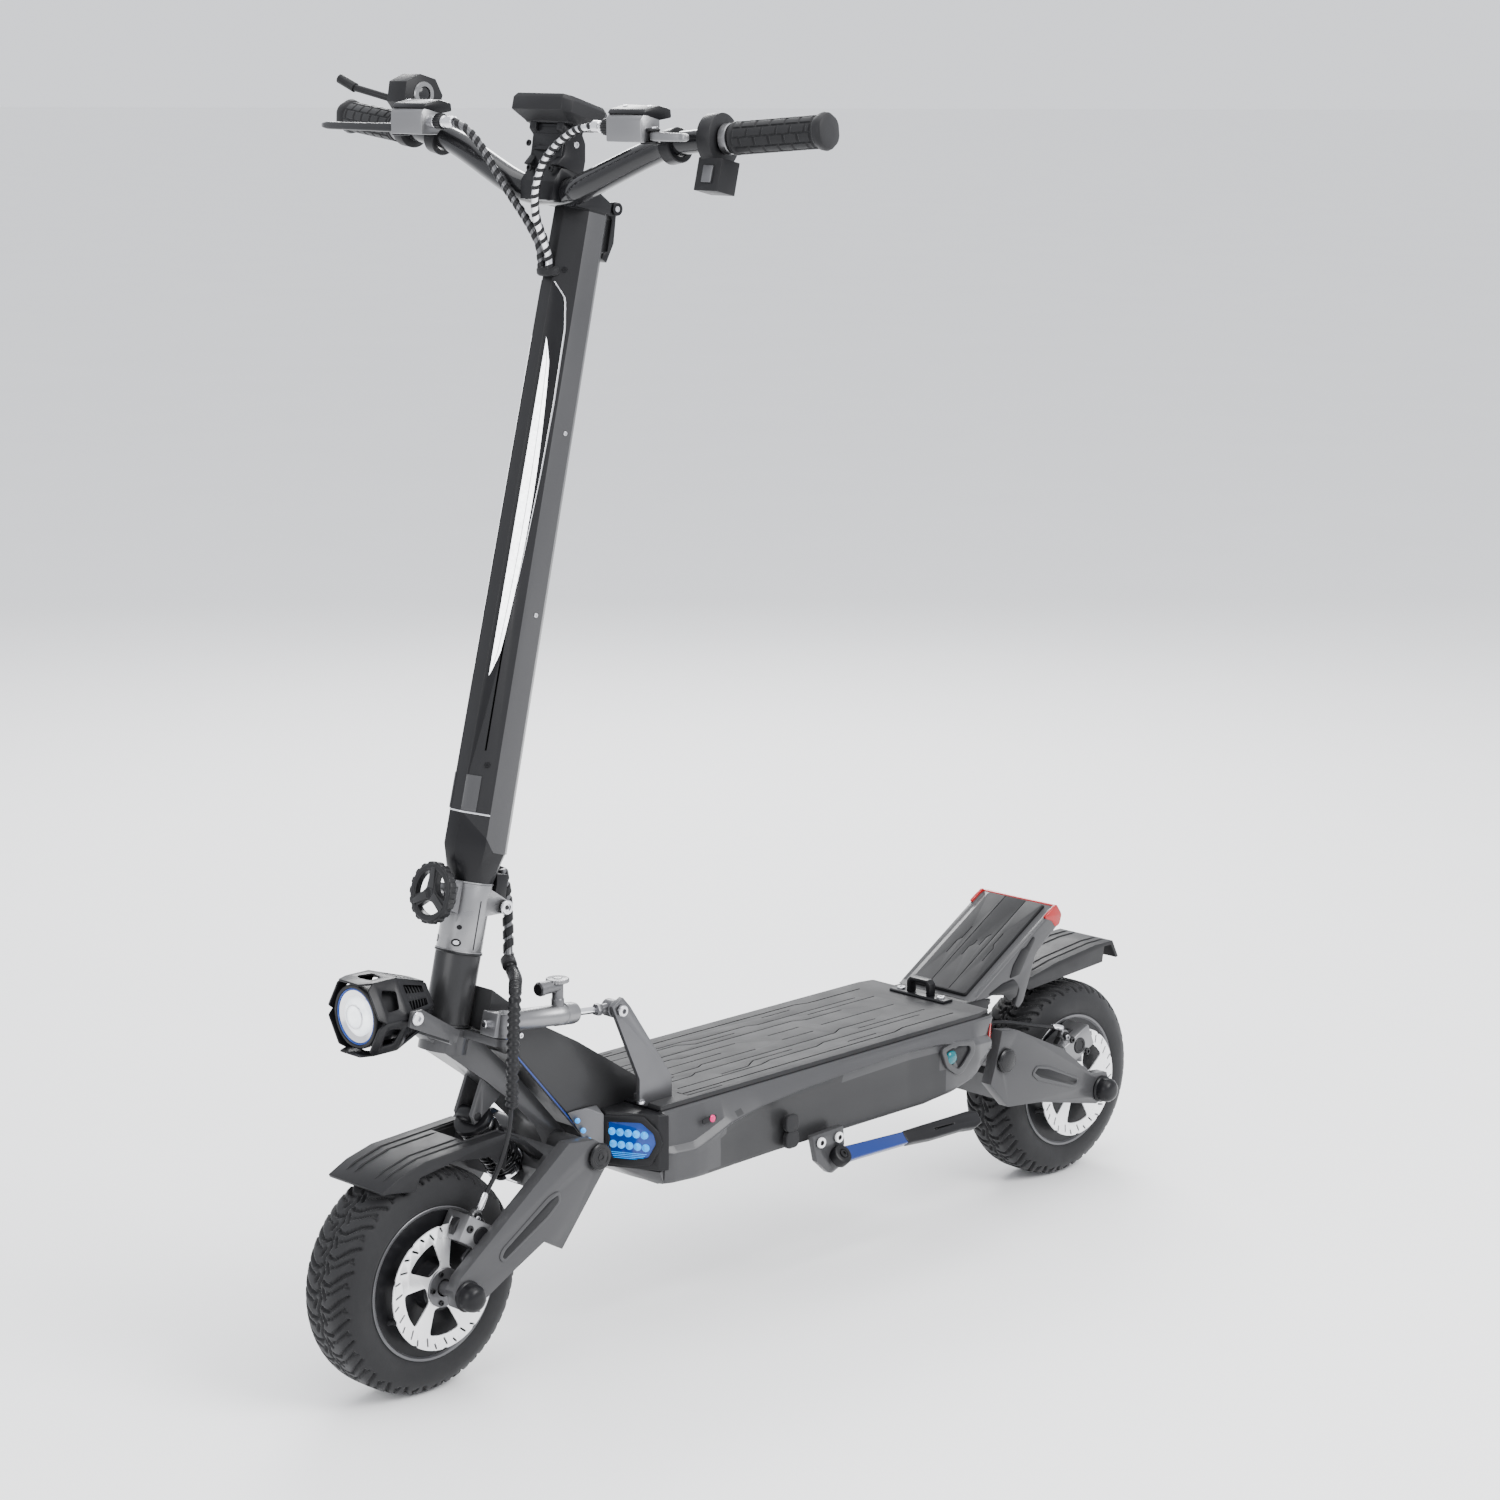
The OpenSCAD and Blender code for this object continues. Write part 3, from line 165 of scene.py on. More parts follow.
BRIGHT = material("bright_steel", (0.75, 0.75, 0.77), 0.22, 1.0, 700, 0.05, 0.05, 12, 0.12)
ROTOR = material("rotor_steel", (0.86, 0.86, 0.87), 0.32, 0.6, 500, 0.10, 0.05, 14, 0.12)
CHROME = material("chrome", (0.80, 0.80, 0.82), 0.08, 1.0, 300, 0.02, 0.03, 6, 0.04)
BOLT = material("black_bolt", (0.010, 0.010, 0.011), 0.28, 0.6, 900, 0.08, 0.12, 20, 0.1)
SCREW = material("light_screw", (0.62, 0.62, 0.64), 0.25, 1.0, 900, 0.06, 0.06, 20, 0.1)
HOSE = material("hose_wrap", (0.009, 0.009, 0.010), 0.36, 0.0, 900, 0.15, 0.15, 20, 0.1)
BLUEPAINT = material("blue_coat", (0.001, 0.022, 0.16), 0.22, 0.4, 900, 0.06, 0.1, 12, 0.08, coat=0.3)
WHITE = glow("light_white", (0.95, 0.97, 1.0), 3.2)
CYAN = glow("light_cyan", (0.0, 0.26, 0.72), 0.9, speck=90)
BLUE = glow("light_blue", (0.0, 0.03, 0.20), 0.5, speck=120)
RED = glow("light_red", (0.26, 0.001, 0.002), 0.35, speck=90)
TEAL = glow("lens_teal", (0.0, 0.09, 0.11), 0.15, speck=70)
PINK = glow("light_pink", (0.45, 0.003, 0.10), 0.6, speck=400)
LENS = glow("lens_head", (0.85, 0.9, 0.95), 1.1, speck=60)

# ---- mesh helpers ------------------------------------------------------------

def add(name, verts, faces, mat, body, bevel=0.0, seg=2, angle=38, place=None, smooth=True, replaces=(),
        unit=MM,
        limit=30):
    """A closed piece from mesh data in mm, riding on a body of the frame."""
    me = bpy.data.meshes.new(name)
    me.from_pydata([tuple(Vector(v) * unit) for v in verts], [], [tuple(f) for f in faces])
    return dress(name, me, mat, body, bevel, seg, angle, place, smooth, replaces, limit)


def dress(name, me, mat, body, bevel=0.0, seg=2, angle=38, place=None, smooth=True, replaces=(), limit=30):
    if place is not None:
        me.transform(place)
    bm = bmesh.new()
    bm.from_mesh(me)
    bmesh.ops.recalc_face_normals(bm, faces=bm.faces)
    bm.to_mesh(me)
    bm.free()
    ob = bpy.data.objects.new(name, me)
    bpy.context.scene.collection.objects.link(ob)
    for mm in (mat if isinstance(mat, (list, tuple)) else [mat]):
        me.materials.append(mm)
    if bevel > 0:
        mod = ob.modifiers.new("edge", "BEVEL")
        mod.width, mod.segments, mod.limit_method = bevel * MM, seg, "ANGLE"
        mod.angle_limit = radians(limit)
        mod.use_clamp_overlap = True
        mod.harden_normals = False
    bake(ob)
    if smooth:
        ob.data.shade_smooth()
        ob.data.set_sharp_from_angle(angle=radians(angle))
    if body:
        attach(ob, body)
    if replaces:
        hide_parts(*replaces)
    return ob


def bake(ob):
    """Applies the modifiers of a piece to its mesh."""
    if not ob.modifiers:
        return
    bpy.context.view_layer.update()
    dg = bpy.context.evaluated_depsgraph_get()
    me = bpy.data.meshes.new_from_object(ob.evaluated_get(dg))
    ob.modifiers.clear()
    old = ob.data
    ob.data = me
    bpy.data.meshes.remove(old)


def skin(node, mat, bevel=1.0, seg=2, angle=38, name=None, limit=25):
    """A finished copy of a CAD node: its flat faces joined up and its edges rounded."""
    src = frame["nodes"][node]
    bm = bmesh.new()
    bm.from_mesh(src.data)
    bmesh.ops.remove_doubles(bm, verts=bm.verts, dist=2e-6)
    bmesh.ops.dissolve_limit(bm, angle_limit=radians(0.8), verts=bm.verts, edges=bm.edges)
    me = bpy.data.meshes.new(name or node + "_skin")
    bm.to_mesh(me)
    bm.free()
    return dress(name or node + "_skin", me, mat, node_body[node], bevel, seg, angle, replaces=(node,),
                 limit=limit)


def paint(node, mat):
    """A CAD node whose shape is right as it is."""
    ob = frame["nodes"][node]
    ob.data.materials.clear()
    ob.data.materials.append(mat)
    ob.data.shade_smooth()
    ob.data.set_sharp_from_angle(angle=radians(35))


def prism(name, pts, x0, x1, mat, body, bevel=0.8, seg=2, place=None, replaces=(), angle=38, limit=25):
    """Side profile of (y, z) points between two x planes."""
    n = len(pts)
    v = [(x0, p[0], p[1]) for p in pts] + [(x1, p[0], p[1]) for p in pts]
    f = [tuple(range(n)), tuple(range(2 * n - 1, n - 1, -1))]
    f += [(i, i + n, (i + 1) % n + n, (i + 1) % n) for i in range(n)]
    return add(name, v, f, mat, body, bevel, seg, angle, place, replaces=replaces, limit=limit)


def lathe_data(profile, n=64, axis="X", centre=(0, 0, 0), closed=True):
    """Ring mesh from (along, radius) points; along runs on the axis."""
    v, f = [], []
    m = len(profile)
    for i in range(n):
        a = 2 * pi * i / n
        for s, r in profile:
            c, d = r * cos(a), r * sin(a)
            v.append({"X": (s, c, d), "Y": (c, s, d), "Z": (c, d, s)}[axis])
    for i in range(n):
        j = (i + 1) % n
        for k in range(m if closed else m - 1):
            l = (k + 1) % m
            f.append((i * m + k, i * m + l, j * m + l, j * m + k))
    if not closed:
        f.append(tuple(i * m for i in range(n)))
        f.append(tuple(i * m + m - 1 for i in range(n)))
    c = Vector(centre)
    return [Vector(p) + c for p in v], f


def lathe(name, profile, mat, body, centre=(0, 0, 0), axis="X", n=64, bevel=0.0, place=None, replaces=(),
          closed=False,
          angle=35, seg=2):
    v, f = lathe_data(profile, n, axis, centre, closed)
    return add(name, v, f, mat, body, bevel, seg, angle, place, replaces=replaces)


def aim(p, d):
    """Matrix that takes +Z to direction d and the origin to p (mm in, metres out)."""
    q = Vector(d).to_track_quat("Z", "Y").to_matrix().to_4x4()
    return Matrix.Translation(Vector(p) * MM) @ q


def disc(name, p, d, profile, mat, body, n=40, bevel=0.0, replaces=(), closed=False):
    """Turned piece: (height, radius) profile along d from p."""
    v, f = lathe_data(profile, n, "Z", (0, 0, 0), closed)
    return add(name, v, f, mat, body, bevel, 2, 35, aim(p, d), replaces=replaces)


def frames(pts):
    """Parallel transport frames along a line of points."""
    t = [(pts[min(i + 1, len(pts) - 1)] - pts[max(i - 1, 0)]).normalized() for i in range(len(pts))]
    u = t[0].orthogonal().normalized()
    out = []
    for i, d in enumerate(t):
        u = (u - d * u.dot(d)).normalized()
        out.append((u, d.cross(u)))
    return out


def smooth_path(ctrl, step=2.0):
    """Catmull-Rom line through the control points, evenly spaced, mm."""
    c = [Vector(p) for p in ctrl]
    c = [c[0] * 2 - c[1]] + c + [c[-1] * 2 - c[-2]]
    fine = []
    for i in range(1, len(c) - 2):
        a, b, d, e = c[i - 1], c[i], c[i + 1], c[i + 2]
        for k in range(24):
            t = k / 24
            fine.append(0.5 * ((2 * b) + (d - a) * t + (2 * a - 5 * b + 4 * d - e) * t * t
                               + (3 * b - a - 3 * d + e) * t ** 3))
    fine.append(c[-2])
    out, acc = [fine[0]], 0.0
    for p, q in zip(fine, fine[1:]):
        acc += (q - p).length
        if acc >= step:
            out.append(q)
            acc = 0.0
    if (out[-1] - fine[-1]).length > step * 0.3:
        out.append(fine[-1])
    else:
        out[-1] = fine[-1]
    return out


def tube_data(pts, radius, n=16):
    """Swept tube; radius is a number or a function of (index, arc length in mm)."""
    fr = frames(pts)
    v, f, s = [], [], 0.0
    for i, p in enumerate(pts):
        if i:
            s += (p - pts[i - 1]).length
        r = radius(i, s) if callable(radius) else radius
        for k in range(n):
            a = 2 * pi * k / n
            v.append(p + (fr[i][0] * cos(a) + fr[i][1] * sin(a)) * r)
    for i in range(len(pts) - 1):
        for k in range(n):
            l = (k + 1) % n
            f.append((i * n + k, i * n + l, (i + 1) * n + l, (i + 1) * n + k))
    f.append(tuple(range(n - 1, -1, -1)))
    f.append(tuple((len(pts) - 1) * n + k for k in range(n)))
    return v, f


def tube(name, ctrl, radius, mat, body, step=3.0, n=16, place=None, replaces=(), angle=40, smooth=True):
    pts = smooth_path(ctrl, step) if smooth else [Vector(p) for p in ctrl]
    v, f = tube_data(pts, radius, n)
    return add(name, v, f, mat, body, 0, 1, angle, place, replaces=replaces)


def plate(name, outer, holes, t, mat, body, place, bevel=0.25, replaces=(), res=1):
    """Flat plate from an outline and holes in its own XY plane, t thick along Z, rounded at its edges."""
    cu = bpy.data.curves.new(name, "CURVE")
    cu.dimensions = "2D"
    cu.fill_mode = "BOTH"
    cu.extrude = max(t / 2 - bevel, 0.01) * MM
    cu.bevel_depth = bevel * MM
    cu.bevel_resolution = res
    for ring in [outer] + list(holes):
        sp = cu.splines.new("POLY")
        sp.points.add(len(ring) - 1)
        for i, p in enumerate(ring):
            sp.points[i].co = (p[0] * MM, p[1] * MM, 0, 1)
        sp.use_cyclic_u = True
    tmp = bpy.data.objects.new(name + "_c", cu)
    bpy.context.scene.collection.objects.link(tmp)
    bpy.context.view_layer.update()
    me = bpy.data.meshes.new_from_object(tmp.evaluated_get(bpy.context.evaluated_depsgraph_get()))
    bpy.data.objects.remove(tmp)
    bpy.data.curves.remove(cu)
    bm = bmesh.new()
    bm.from_mesh(me)
    bmesh.ops.remove_doubles(bm, verts=bm.verts, dist=1e-6)
    bm.to_mesh(me)
    bm.free()
    return dress(name, me, mat, body, 0, 1, 40, place, replaces=replaces)


def arc(cx, cy, r, a0, a1, n=12):
    return [(cx + r * cos(radians(a0 + (a1 - a0) * i / n)), cy + r * sin(radians(a0 + (a1 - a0) * i / n)))
            for i in range(n + 1)]


def circle(cx, cy, r, n=24):
    return arc(cx, cy, r, 0, 360 * (n - 1) / n, n - 1)


def rounded(pts, r, n=4):
    """Closed outline with every corner rounded."""
    out = []
    m = len(pts)
    for i in range(m):
        p, a, b = Vector(pts[i]), Vector(pts[i - 1]), Vector(pts[(i + 1) % m])
        u, w = (a - p), (b - p)
        k = min(r, u.length * 0.45, w.length * 0.45)
        s, e = p + u.normalized() * k, p + w.normalized() * k
        for j in range(n + 1):
            t = j / n
            q = s * (1 - t) ** 2 + p * 2 * t * (1 - t) + e * t * t
            out.append(tuple(q))
    return out


def bolt(name, p, d, r, h, mat, body):
    """Round-headed screw with a hexagonal socket, seated at p and standing along d."""
    k = 24
    v, f = [], []
    for z, rr in ((0, r), (h * 0.7, r), (h, r * 0.86)):
        v += [(rr * cos(2 * pi * i / k), rr * sin(2 * pi * i / k), z) for i in range(k)]
    hexr = r * 0.5
    def hexp(i):
        a = 2 * pi * i / k
        s = pi / 3
        q = (a % s) - s / 2
        return hexr * cos(pi / 6) / cos(q)
    for z in (h, h * 0.35):
        v += [(hexp(i) * cos(2 * pi * i / k), hexp(i) * sin(2 * pi * i / k), z) for i in range(k)]
    for a in range(4):
        for i in range(k):
            j = (i + 1) % k
            f.append((a * k + i, a * k + j, (a + 1) * k + j, (a + 1) * k + i))
    f.append(tuple(range(k - 1, -1, -1)))
    f.append(tuple(4 * k + i for i in range(k)))
    return add(name, v, f, mat, body, 0, 1, 30, aim(p, d))

# ---- camera, light, floor ------------------------------------------------------

def set_stage():
    sc = bpy.context.scene
    cam = bpy.data.objects.new("camera", bpy.data.cameras.new("camera"))
    sc.collection.objects.link(cam)
    cam.data.lens = 85.35
    cam.data.sensor_width = 36
    cam.data.clip_end = 60
    yaw, pitch, roll = radians(-44.6876), radians(-11.6090), radians(0.11)
    fw = Vector((cos(pitch) * sin(yaw), cos(pitch) * cos(yaw), sin(pitch)))
    right = fw.cross(Vector((0, 0, 1))).normalized()
    up = right.cross(fw)
    r2 = right * cos(roll) + up * sin(roll)
    u2 = -right * sin(roll) + up * cos(roll)
    rot = Matrix((r2, u2, -fw)).transposed()
    cam.matrix_world = Matrix.Translation((2.85245, -2.89672, 1.46998)) @ rot.to_4x4()
    sc.camera = cam
    w = bpy.data.worlds.new("studio")
    w.use_nodes = True
    w.node_tree.nodes["Background"].inputs[0].default_value = (0.93, 0.95, 1.0, 1)
    w.node_tree.nodes["Background"].inputs[1].default_value = 1.35
    sc.world = w

    def lamp(name, at, to, size, power, colour=(1, 1, 1)):
        d = bpy.data.lights.new(name, "AREA")
        d.shape, d.size, d.size_y = "RECTANGLE", size[0], size[1]
        d.energy, d.color = power, colour
        o = bpy.data.objects.new(name, d)
        sc.collection.objects.link(o)
        o.location = at
        o.rotation_euler = (Vector(to) - Vector(at)).to_track_quat("-Z", "Y").to_euler()

    lamp("key", (3.2, 0.6, 3.0), (0, 0, 0.5), (2.2, 2.2), 210)
    lamp("front", (0.4, -4.2, 2.0), (0, -0.3, 0.6), (2.4, 2.0), 90)
    lamp("rim", (-2.6, 2.4, 2.6), (0, 0, 0.6), (2.0, 1.6), 140)
    lamp("top", (0.2, 0.0, 3.6), (0, 0, 0.3), (3.0, 3.0), 80)
    me = bpy.data.meshes.new("floor")
    me.from_pydata([(-60, -60, -0.0005), (60, -60, -0.0005), (60, 60, -0.0005), (-60, 60, -0.0005)], [],
                   [(0, 1, 2, 3)])
    fl = bpy.data.objects.new("floor", me)
    sc.collection.objects.link(fl)
    me.materials.append(material("floor_pale", (0.93, 0.93, 0.93), 0.75, 0, 30, 0.01, 0.01, 2, 0.04))


set_stage()

# ---- wheels ----------------------------------------------------------------------

TYRE_R = 127.5


def tyre_section():
    """Outer line of the tyre from bead to bead, (x, r)."""
    half = [(0, 127.5), (9, 127.4), (18, 127.0), (25, 125.4), (31, 121.8), (36, 115.5), (39.2, 107.5),
            (40, 99),
            (39, 91.5), (36.6, 86), (34.6, 83.6), (33.6, 82.2)]
    pts = smooth_path([(x, 0, r) for x, r in half], 1.15)
    out = [(p.x, p.z) for p in pts]
    return [(-x, r) for x, r in reversed(out[1:])] + out


def tread_lines():
    """Grooves of one repeat of the tread: lines in (x across, mm along) with half width and depth."""
    g = []
    for s in (1, -1):
        o = 0 if s > 0 else 13
        g.append(([(s * 3, o + 2), (s * 8, o + 5), (s * 15, o + 4), (s * 22, o - 2), (s * 30, o - 10),
                   (s * 39, o - 16)],
                  1.5, 3.4))
        g.append(([(s * 12, o + 14), (s * 20, o + 11), (s * 27, o + 5), (s * 35, o - 1)], 1.2, 2.6))
        g.append(([(s * 5, o + 12), (s * 9, o + 20)], 1.5, 3.0))
        g.append(([(s * 33, o + 3), (s * 38, o + 3)], 1.0, 2.0))
    g.append(([(0, -14), (2.5, -7), (0, 0), (-2.5, 7), (0, 14)], 1.0, 2.4))
    return g


def make_tyres():
    sec = tyre_section()
    m = len(sec)
    xs = np.array([p[0] for p in sec])
    rs = np.array([p[1] for p in sec])
    s = np.concatenate([[0], np.cumsum(np.hypot(np.diff(xs), np.diff(rs)))])
    s -= s[-1] / 2
    reps, n = 28, 28 * 16
    pitch = 2 * pi * TYRE_R / reps
    t = np.arange(n) * (2 * pi * TYRE_R / n)
    S, T = np.meshgrid(s, t)
    depth = np.zeros_like(S)
    for line, w, dep in tread_lines():
        for a, b in zip(line, line[1:]):
            a, b = np.array(a, float), np.array(b, float)
            d = b - a
            for shift in (-1, 0, 1):
                ty = ((T + pitch / 2) % pitch - pitch / 2) + shift * pitch
                k = np.clip(((S - a[0]) * d[0] + (ty - a[1]) * d[1]) / (d @ d), 0, 1)
                dist = np.hypot(S - a[0] - k * d[0], ty - a[1] - k * d[1])
                q = np.clip((w + 0.9 - dist) / 1.3, 0, 1)
                depth = np.maximum(depth, dep * q * q * (3 - 2 * q))
    fade = np.clip((47 - np.abs(S)) / 5, 0, 1)
    depth *= fade
    nx, nr = np.gradient(rs), -np.gradient(xs)
    ln = np.hypot(nx, nr)
    nx, nr = nx / ln, nr / ln
    nx, nr = -nx, -nr
    X = xs[None, :] - nx[None, :] * depth
    R = rs[None, :] - nr[None, :] * depth
    inner = [(27, 83), (27, 92), (31, 100), (30, 108), (22, 116), (0, 118), (-22, 116), (-30, 108),
             (-31, 100),
             (-27, 92), (-27, 83)]
    ang = 2 * pi * np.arange(n) / n
    verts, faces = [], []
    total = m + len(inner)
    for i in range(n):
        c, d = cos(ang[i]), sin(ang[i])
        verts += [(X[i, k], R[i, k] * c, R[i, k] * d) for k in range(m)]
        verts += [(x, r * c, r * d) for x, r in inner]
    for i in range(n):
        j = (i + 1) % n
        for k in range(total):
            l = (k + 1) % total
            faces.append((i * total + k, j * total + k, j * total + l, i * total + l))
    for tag, at, body, node in (("front", FA, "front_wheel", "front_tyre"),
                                ("rear", RA, "rear_wheel", "rear_tyre")):
        add(tag + "_tyre_tread", verts, faces, TYRE, body, 0, 1, 42, Matrix.Translation(at * MM),
            replaces=(node,))


def make_hubs():
    for tag, at, body in (("front", FA, "front_wheel"), ("rear", RA, "rear_wheel")):
        P = Matrix.Translation(at * MM)
        prof = [(-36, 82), (-37.5, 84), (-37.2, 85.2), (-34.5, 85), (-33, 80.5), (-31, 78), (-30.5, 70),
                (-32, 66),
                (-32, 60), (-30.4, 58), (-30.4, 34), (-33, 31), (-35, 24), (-35, 17), (-30, 17), (-30, 9),
                (27, 9),
                (27, 17), (rotor_face - 0.4, 17), (rotor_face - 0.4, 26), (38, 28), (32.5, 31), (31, 40),
                (30.5, 60),
                (32, 62), (32, 67), (30, 70), (30.5, 78), (33, 80.5), (34.5, 85), (37.2, 85.2), (37.5, 84),
                (36, 82)]
        lathe(tag + "_rim", prof, BLACK, body, n=96, place=P, replaces=(tag + "_hub",), angle=24)
        # stepped lip of the rim, lighter where it is machined
        for s in (1, -1):
            lathe(f"{tag}_rim_lip_{'lr'[s < 0]}", [(s * 35.2, 84.2), (s * 38.0, 86.3), (s * 38.6, 85.6),
                                                   (s * 38.2, 83.2),
                  (s * 36.2, 81.2), (s * 35.2, 81.6)], GREYALLOY, body, n=120, place=P, closed=True)
            for k in range(6):
                a = radians(60 * k + 15)
                p = at + Vector((s * 31.9, 64 * cos(a), 64 * sin(a)))
                bolt(f"{tag}_cover_bolt_{'lr'[s < 0]}{k}", p, (s, 0, 0), 3.1, 2.0, BOLT, body)
        # valve stem in the rim's well
        a = radians(205)
        d = Vector((0, cos(a), sin(a)))
        disc(tag + "_valve", at + d * 70 + Vector((33, 0, 0)), (0.85, -d.y * 0.5, -d.z * 0.5),
             [(-4, 3.0), (3, 3.0), (3.6, 2.4), (8, 2.4), (8.4, 3.2), (13, 3.2), (14, 2.4)], RUBBER, body, 20)


rotor_face = 51.0


def make_rotors():
    for tag, at, body in (("front", FA, "front_wheel"), ("rear", RA, "rear_wheel")):
        outer = []
        for k in range(180):
            a = 2 * pi * k / 180
            r = 70 - 1.1 * (1 if (k % 18) in (0, 1) else 0)
            outer.append((r * cos(a), r * sin(a)))
        holes = [circle(0, 0, 14, 32)]
        for k in range(30):
            a = radians(12 * k)
            r0, r1, sk = (63.2, 68.0, 0.045) if k % 2 else (58.0, 65.5, 0.06)
            p, q = Vector((r0 * cos(a), r0 * sin(a))), Vector((r1 * cos(a + sk), r1 * sin(a + sk)))
            d = (q - p).normalized()
            n = Vector((-d.y, d.x)) * 1.35
            ring = []
            for c, s in ((p, 1), (q, -1)):
                a0 = atan2(n.y * s, n.x * s)
                ring += [(c.x + 1.35 * cos(a0 + pi * i / 5),
                          c.y + 1.35 * sin(a0 + pi * i / 5)) for i in range(6)]
            holes.append(ring)
        for k in range(5):
            a = 72 * k
            win = [(21, -13), (50.5, -21), (53.5, -8), (53.8, 6), (50, 22), (22, 6)]
            c, s = cos(radians(a)), sin(radians(a))
            ring = rounded([(x * c - y * s, x * s + y * c) for x, y in win], 5, 4)
            holes.append(ring)
        P = Matrix.Translation((at + Vector((52, 0, 0))) * MM) @ Matrix.Rotation(pi / 2, 4, "Y")
        plate(tag + "_disc", outer, holes, 2.0, ROTOR, body, P, 0.2, replaces=(tag + "_rotor",))
        disc(tag + "_disc_centre", at + Vector((52.9, 0, 0)), (1, 0, 0),
             [(0, 22), (1.6, 22), (2.2, 21.2), (2.2, 10), (0, 10)],
             GREYALLOY, body, 48)
        for k in range(5):
            a = radians(72 * k + 36)
            bolt(f"{tag}_disc_bolt{k}", at + Vector((55, 17 * cos(a), 17 * sin(a))), (1, 0, 0), 3.0, 2.2,
                 BOLT, body)
        for s in (1, -1):
            x = 92
            disc(f"{tag}_axle_cap_{'lr'[s < 0]}", at + Vector((s * x, 0, 0)), (s, 0, 0),
                 [(-0.5, 17), (2, 17.4), (3.5, 16.5), (4, 15.4), (10, 15.4), (14, 14.6), (17.5, 12.4),
                  (19.6, 9),
                  (20.4, 4.5), (20.5, 0.5)], BLACK, tag + "_arm", 48)


make_tyres()
make_hubs()
make_rotors()
# ---- END-OF-WHEELS ----

# ---- deck ------------------------------------------------------------------------

def groove(pts, w):
    """Outline of a groove of width w along a line of points, for a hole in a plate."""
    p = [Vector(q) for q in pts]
    left, right = [], []
    for i, q in enumerate(p):
        a = p[max(i - 1, 0)]
        b = p[min(i + 1, len(p) - 1)]
        d = (b - a).normalized()
        n = Vector((-d.y, d.x)) * (w / 2)
        left.append(tuple(q + n))
        right.append(tuple(q - n))
    return left + right[::-1]


def flat(z):
    return Matrix.Translation((0, 0, z * MM))


def make_mat():
    edge = [(-101, -256), (-42.6, -256), (-42.6, -217.6), (81.6, -217.6), (81.6, -256), (101, -256),
            (101, 284), (96, 306), (-96, 306), (-101, 284)]
    plate("deck_mat_base", edge, [], 3.4, MATRUB, "deck", flat(276.7), 0.3, replaces=("deck_mat",))
    lines = []
    for s in (1, -1):
        lines += [
            [(s * 84, -206), (s * 84, 150), (s * 78, 170), (s * 78, 262)],
            [(s * 66, -196), (s * 66, -60), (s * 60, -40), (s * 60, 40), (s * 54, 56), (s * 54, 228)],
            [(s * 60, -120), (s * 60, -76), (s * 48, -56), (s * 48, 10)],
            [(s * 42, -208), (s * 42, -150), (s * 36, -138), (s * 36, 96), (s * 28, 112), (s * 28, 176)],
            [(s * 30, -196), (s * 30, -166)], [(s * 22, -200), (s * 22, -120), (s * 17, -110),
                                               (s * 17, -20)],
            [(s * 72, 80), (s * 72, 130)], [(s * 42, 130), (s * 42, 250)], [(s * 12, 30), (s * 12, 84)],
            [(s * 76, -206), (s * 92, -206), (s * 92, -150)], [(s * 50, -212), (s * 34, -212)],
        ]
    lines += [[(0, -150), (0, -60)], [(0, 110), (0, 240)]]
    plate("deck_mat_top", rounded(edge, 3, 3), [groove(l, 2.4) for l in lines], 1.9, MATRUB, "deck",
          flat(279.05), 0.35)


def cover_rows(y):
    """Cross-section of a side cover at y: (x, z) points from the mat's edge down to the underside."""
    # the arch rises from the front foot, runs level and falls into the rear corner
    arch = np.interp(y, [-256, -214, -190, -160, -110, -40, 60, 150, 200, 232, 262, 306],
                     [224, 224, 232, 243, 252, 258, 262, 264, 262, 256, 247, 240])
    low = np.interp(y, [-256, 150, 175, 222, 259, 306], [188.5, 188.5, 189, 195, 202, 226])
    out = np.interp(y, [-256, -246, -215, -195, -120, 0, 150, 215, 270, 306],
                    [107, 112, 117, 117.5, 118, 118, 118, 118, 115, 104])
    dip = np.interp(y, [-256, -200, -150, -80, 150, 190, 222, 306], [0.5, 0.8, 6, 10.5, 10.5, 7, 2, 0.5])
    return [(97.0, 273.6), (102.5, 273.6), (104.6, 271.2), (out - 6.5, min(arch + 8, 269)),
            (out - 1.2, arch + 2.5), (out, arch),
            (out - dip * 0.75, arch - 3.5), (out - dip, arch - 9 - dip * 0.5),
            (out - dip + 0.4, (arch + low) / 2),
            (out - dip * 0.8 - 0.5, low + 6), (out - dip * 0.6 - 3.5, low + 1.2), (97.0, low)]


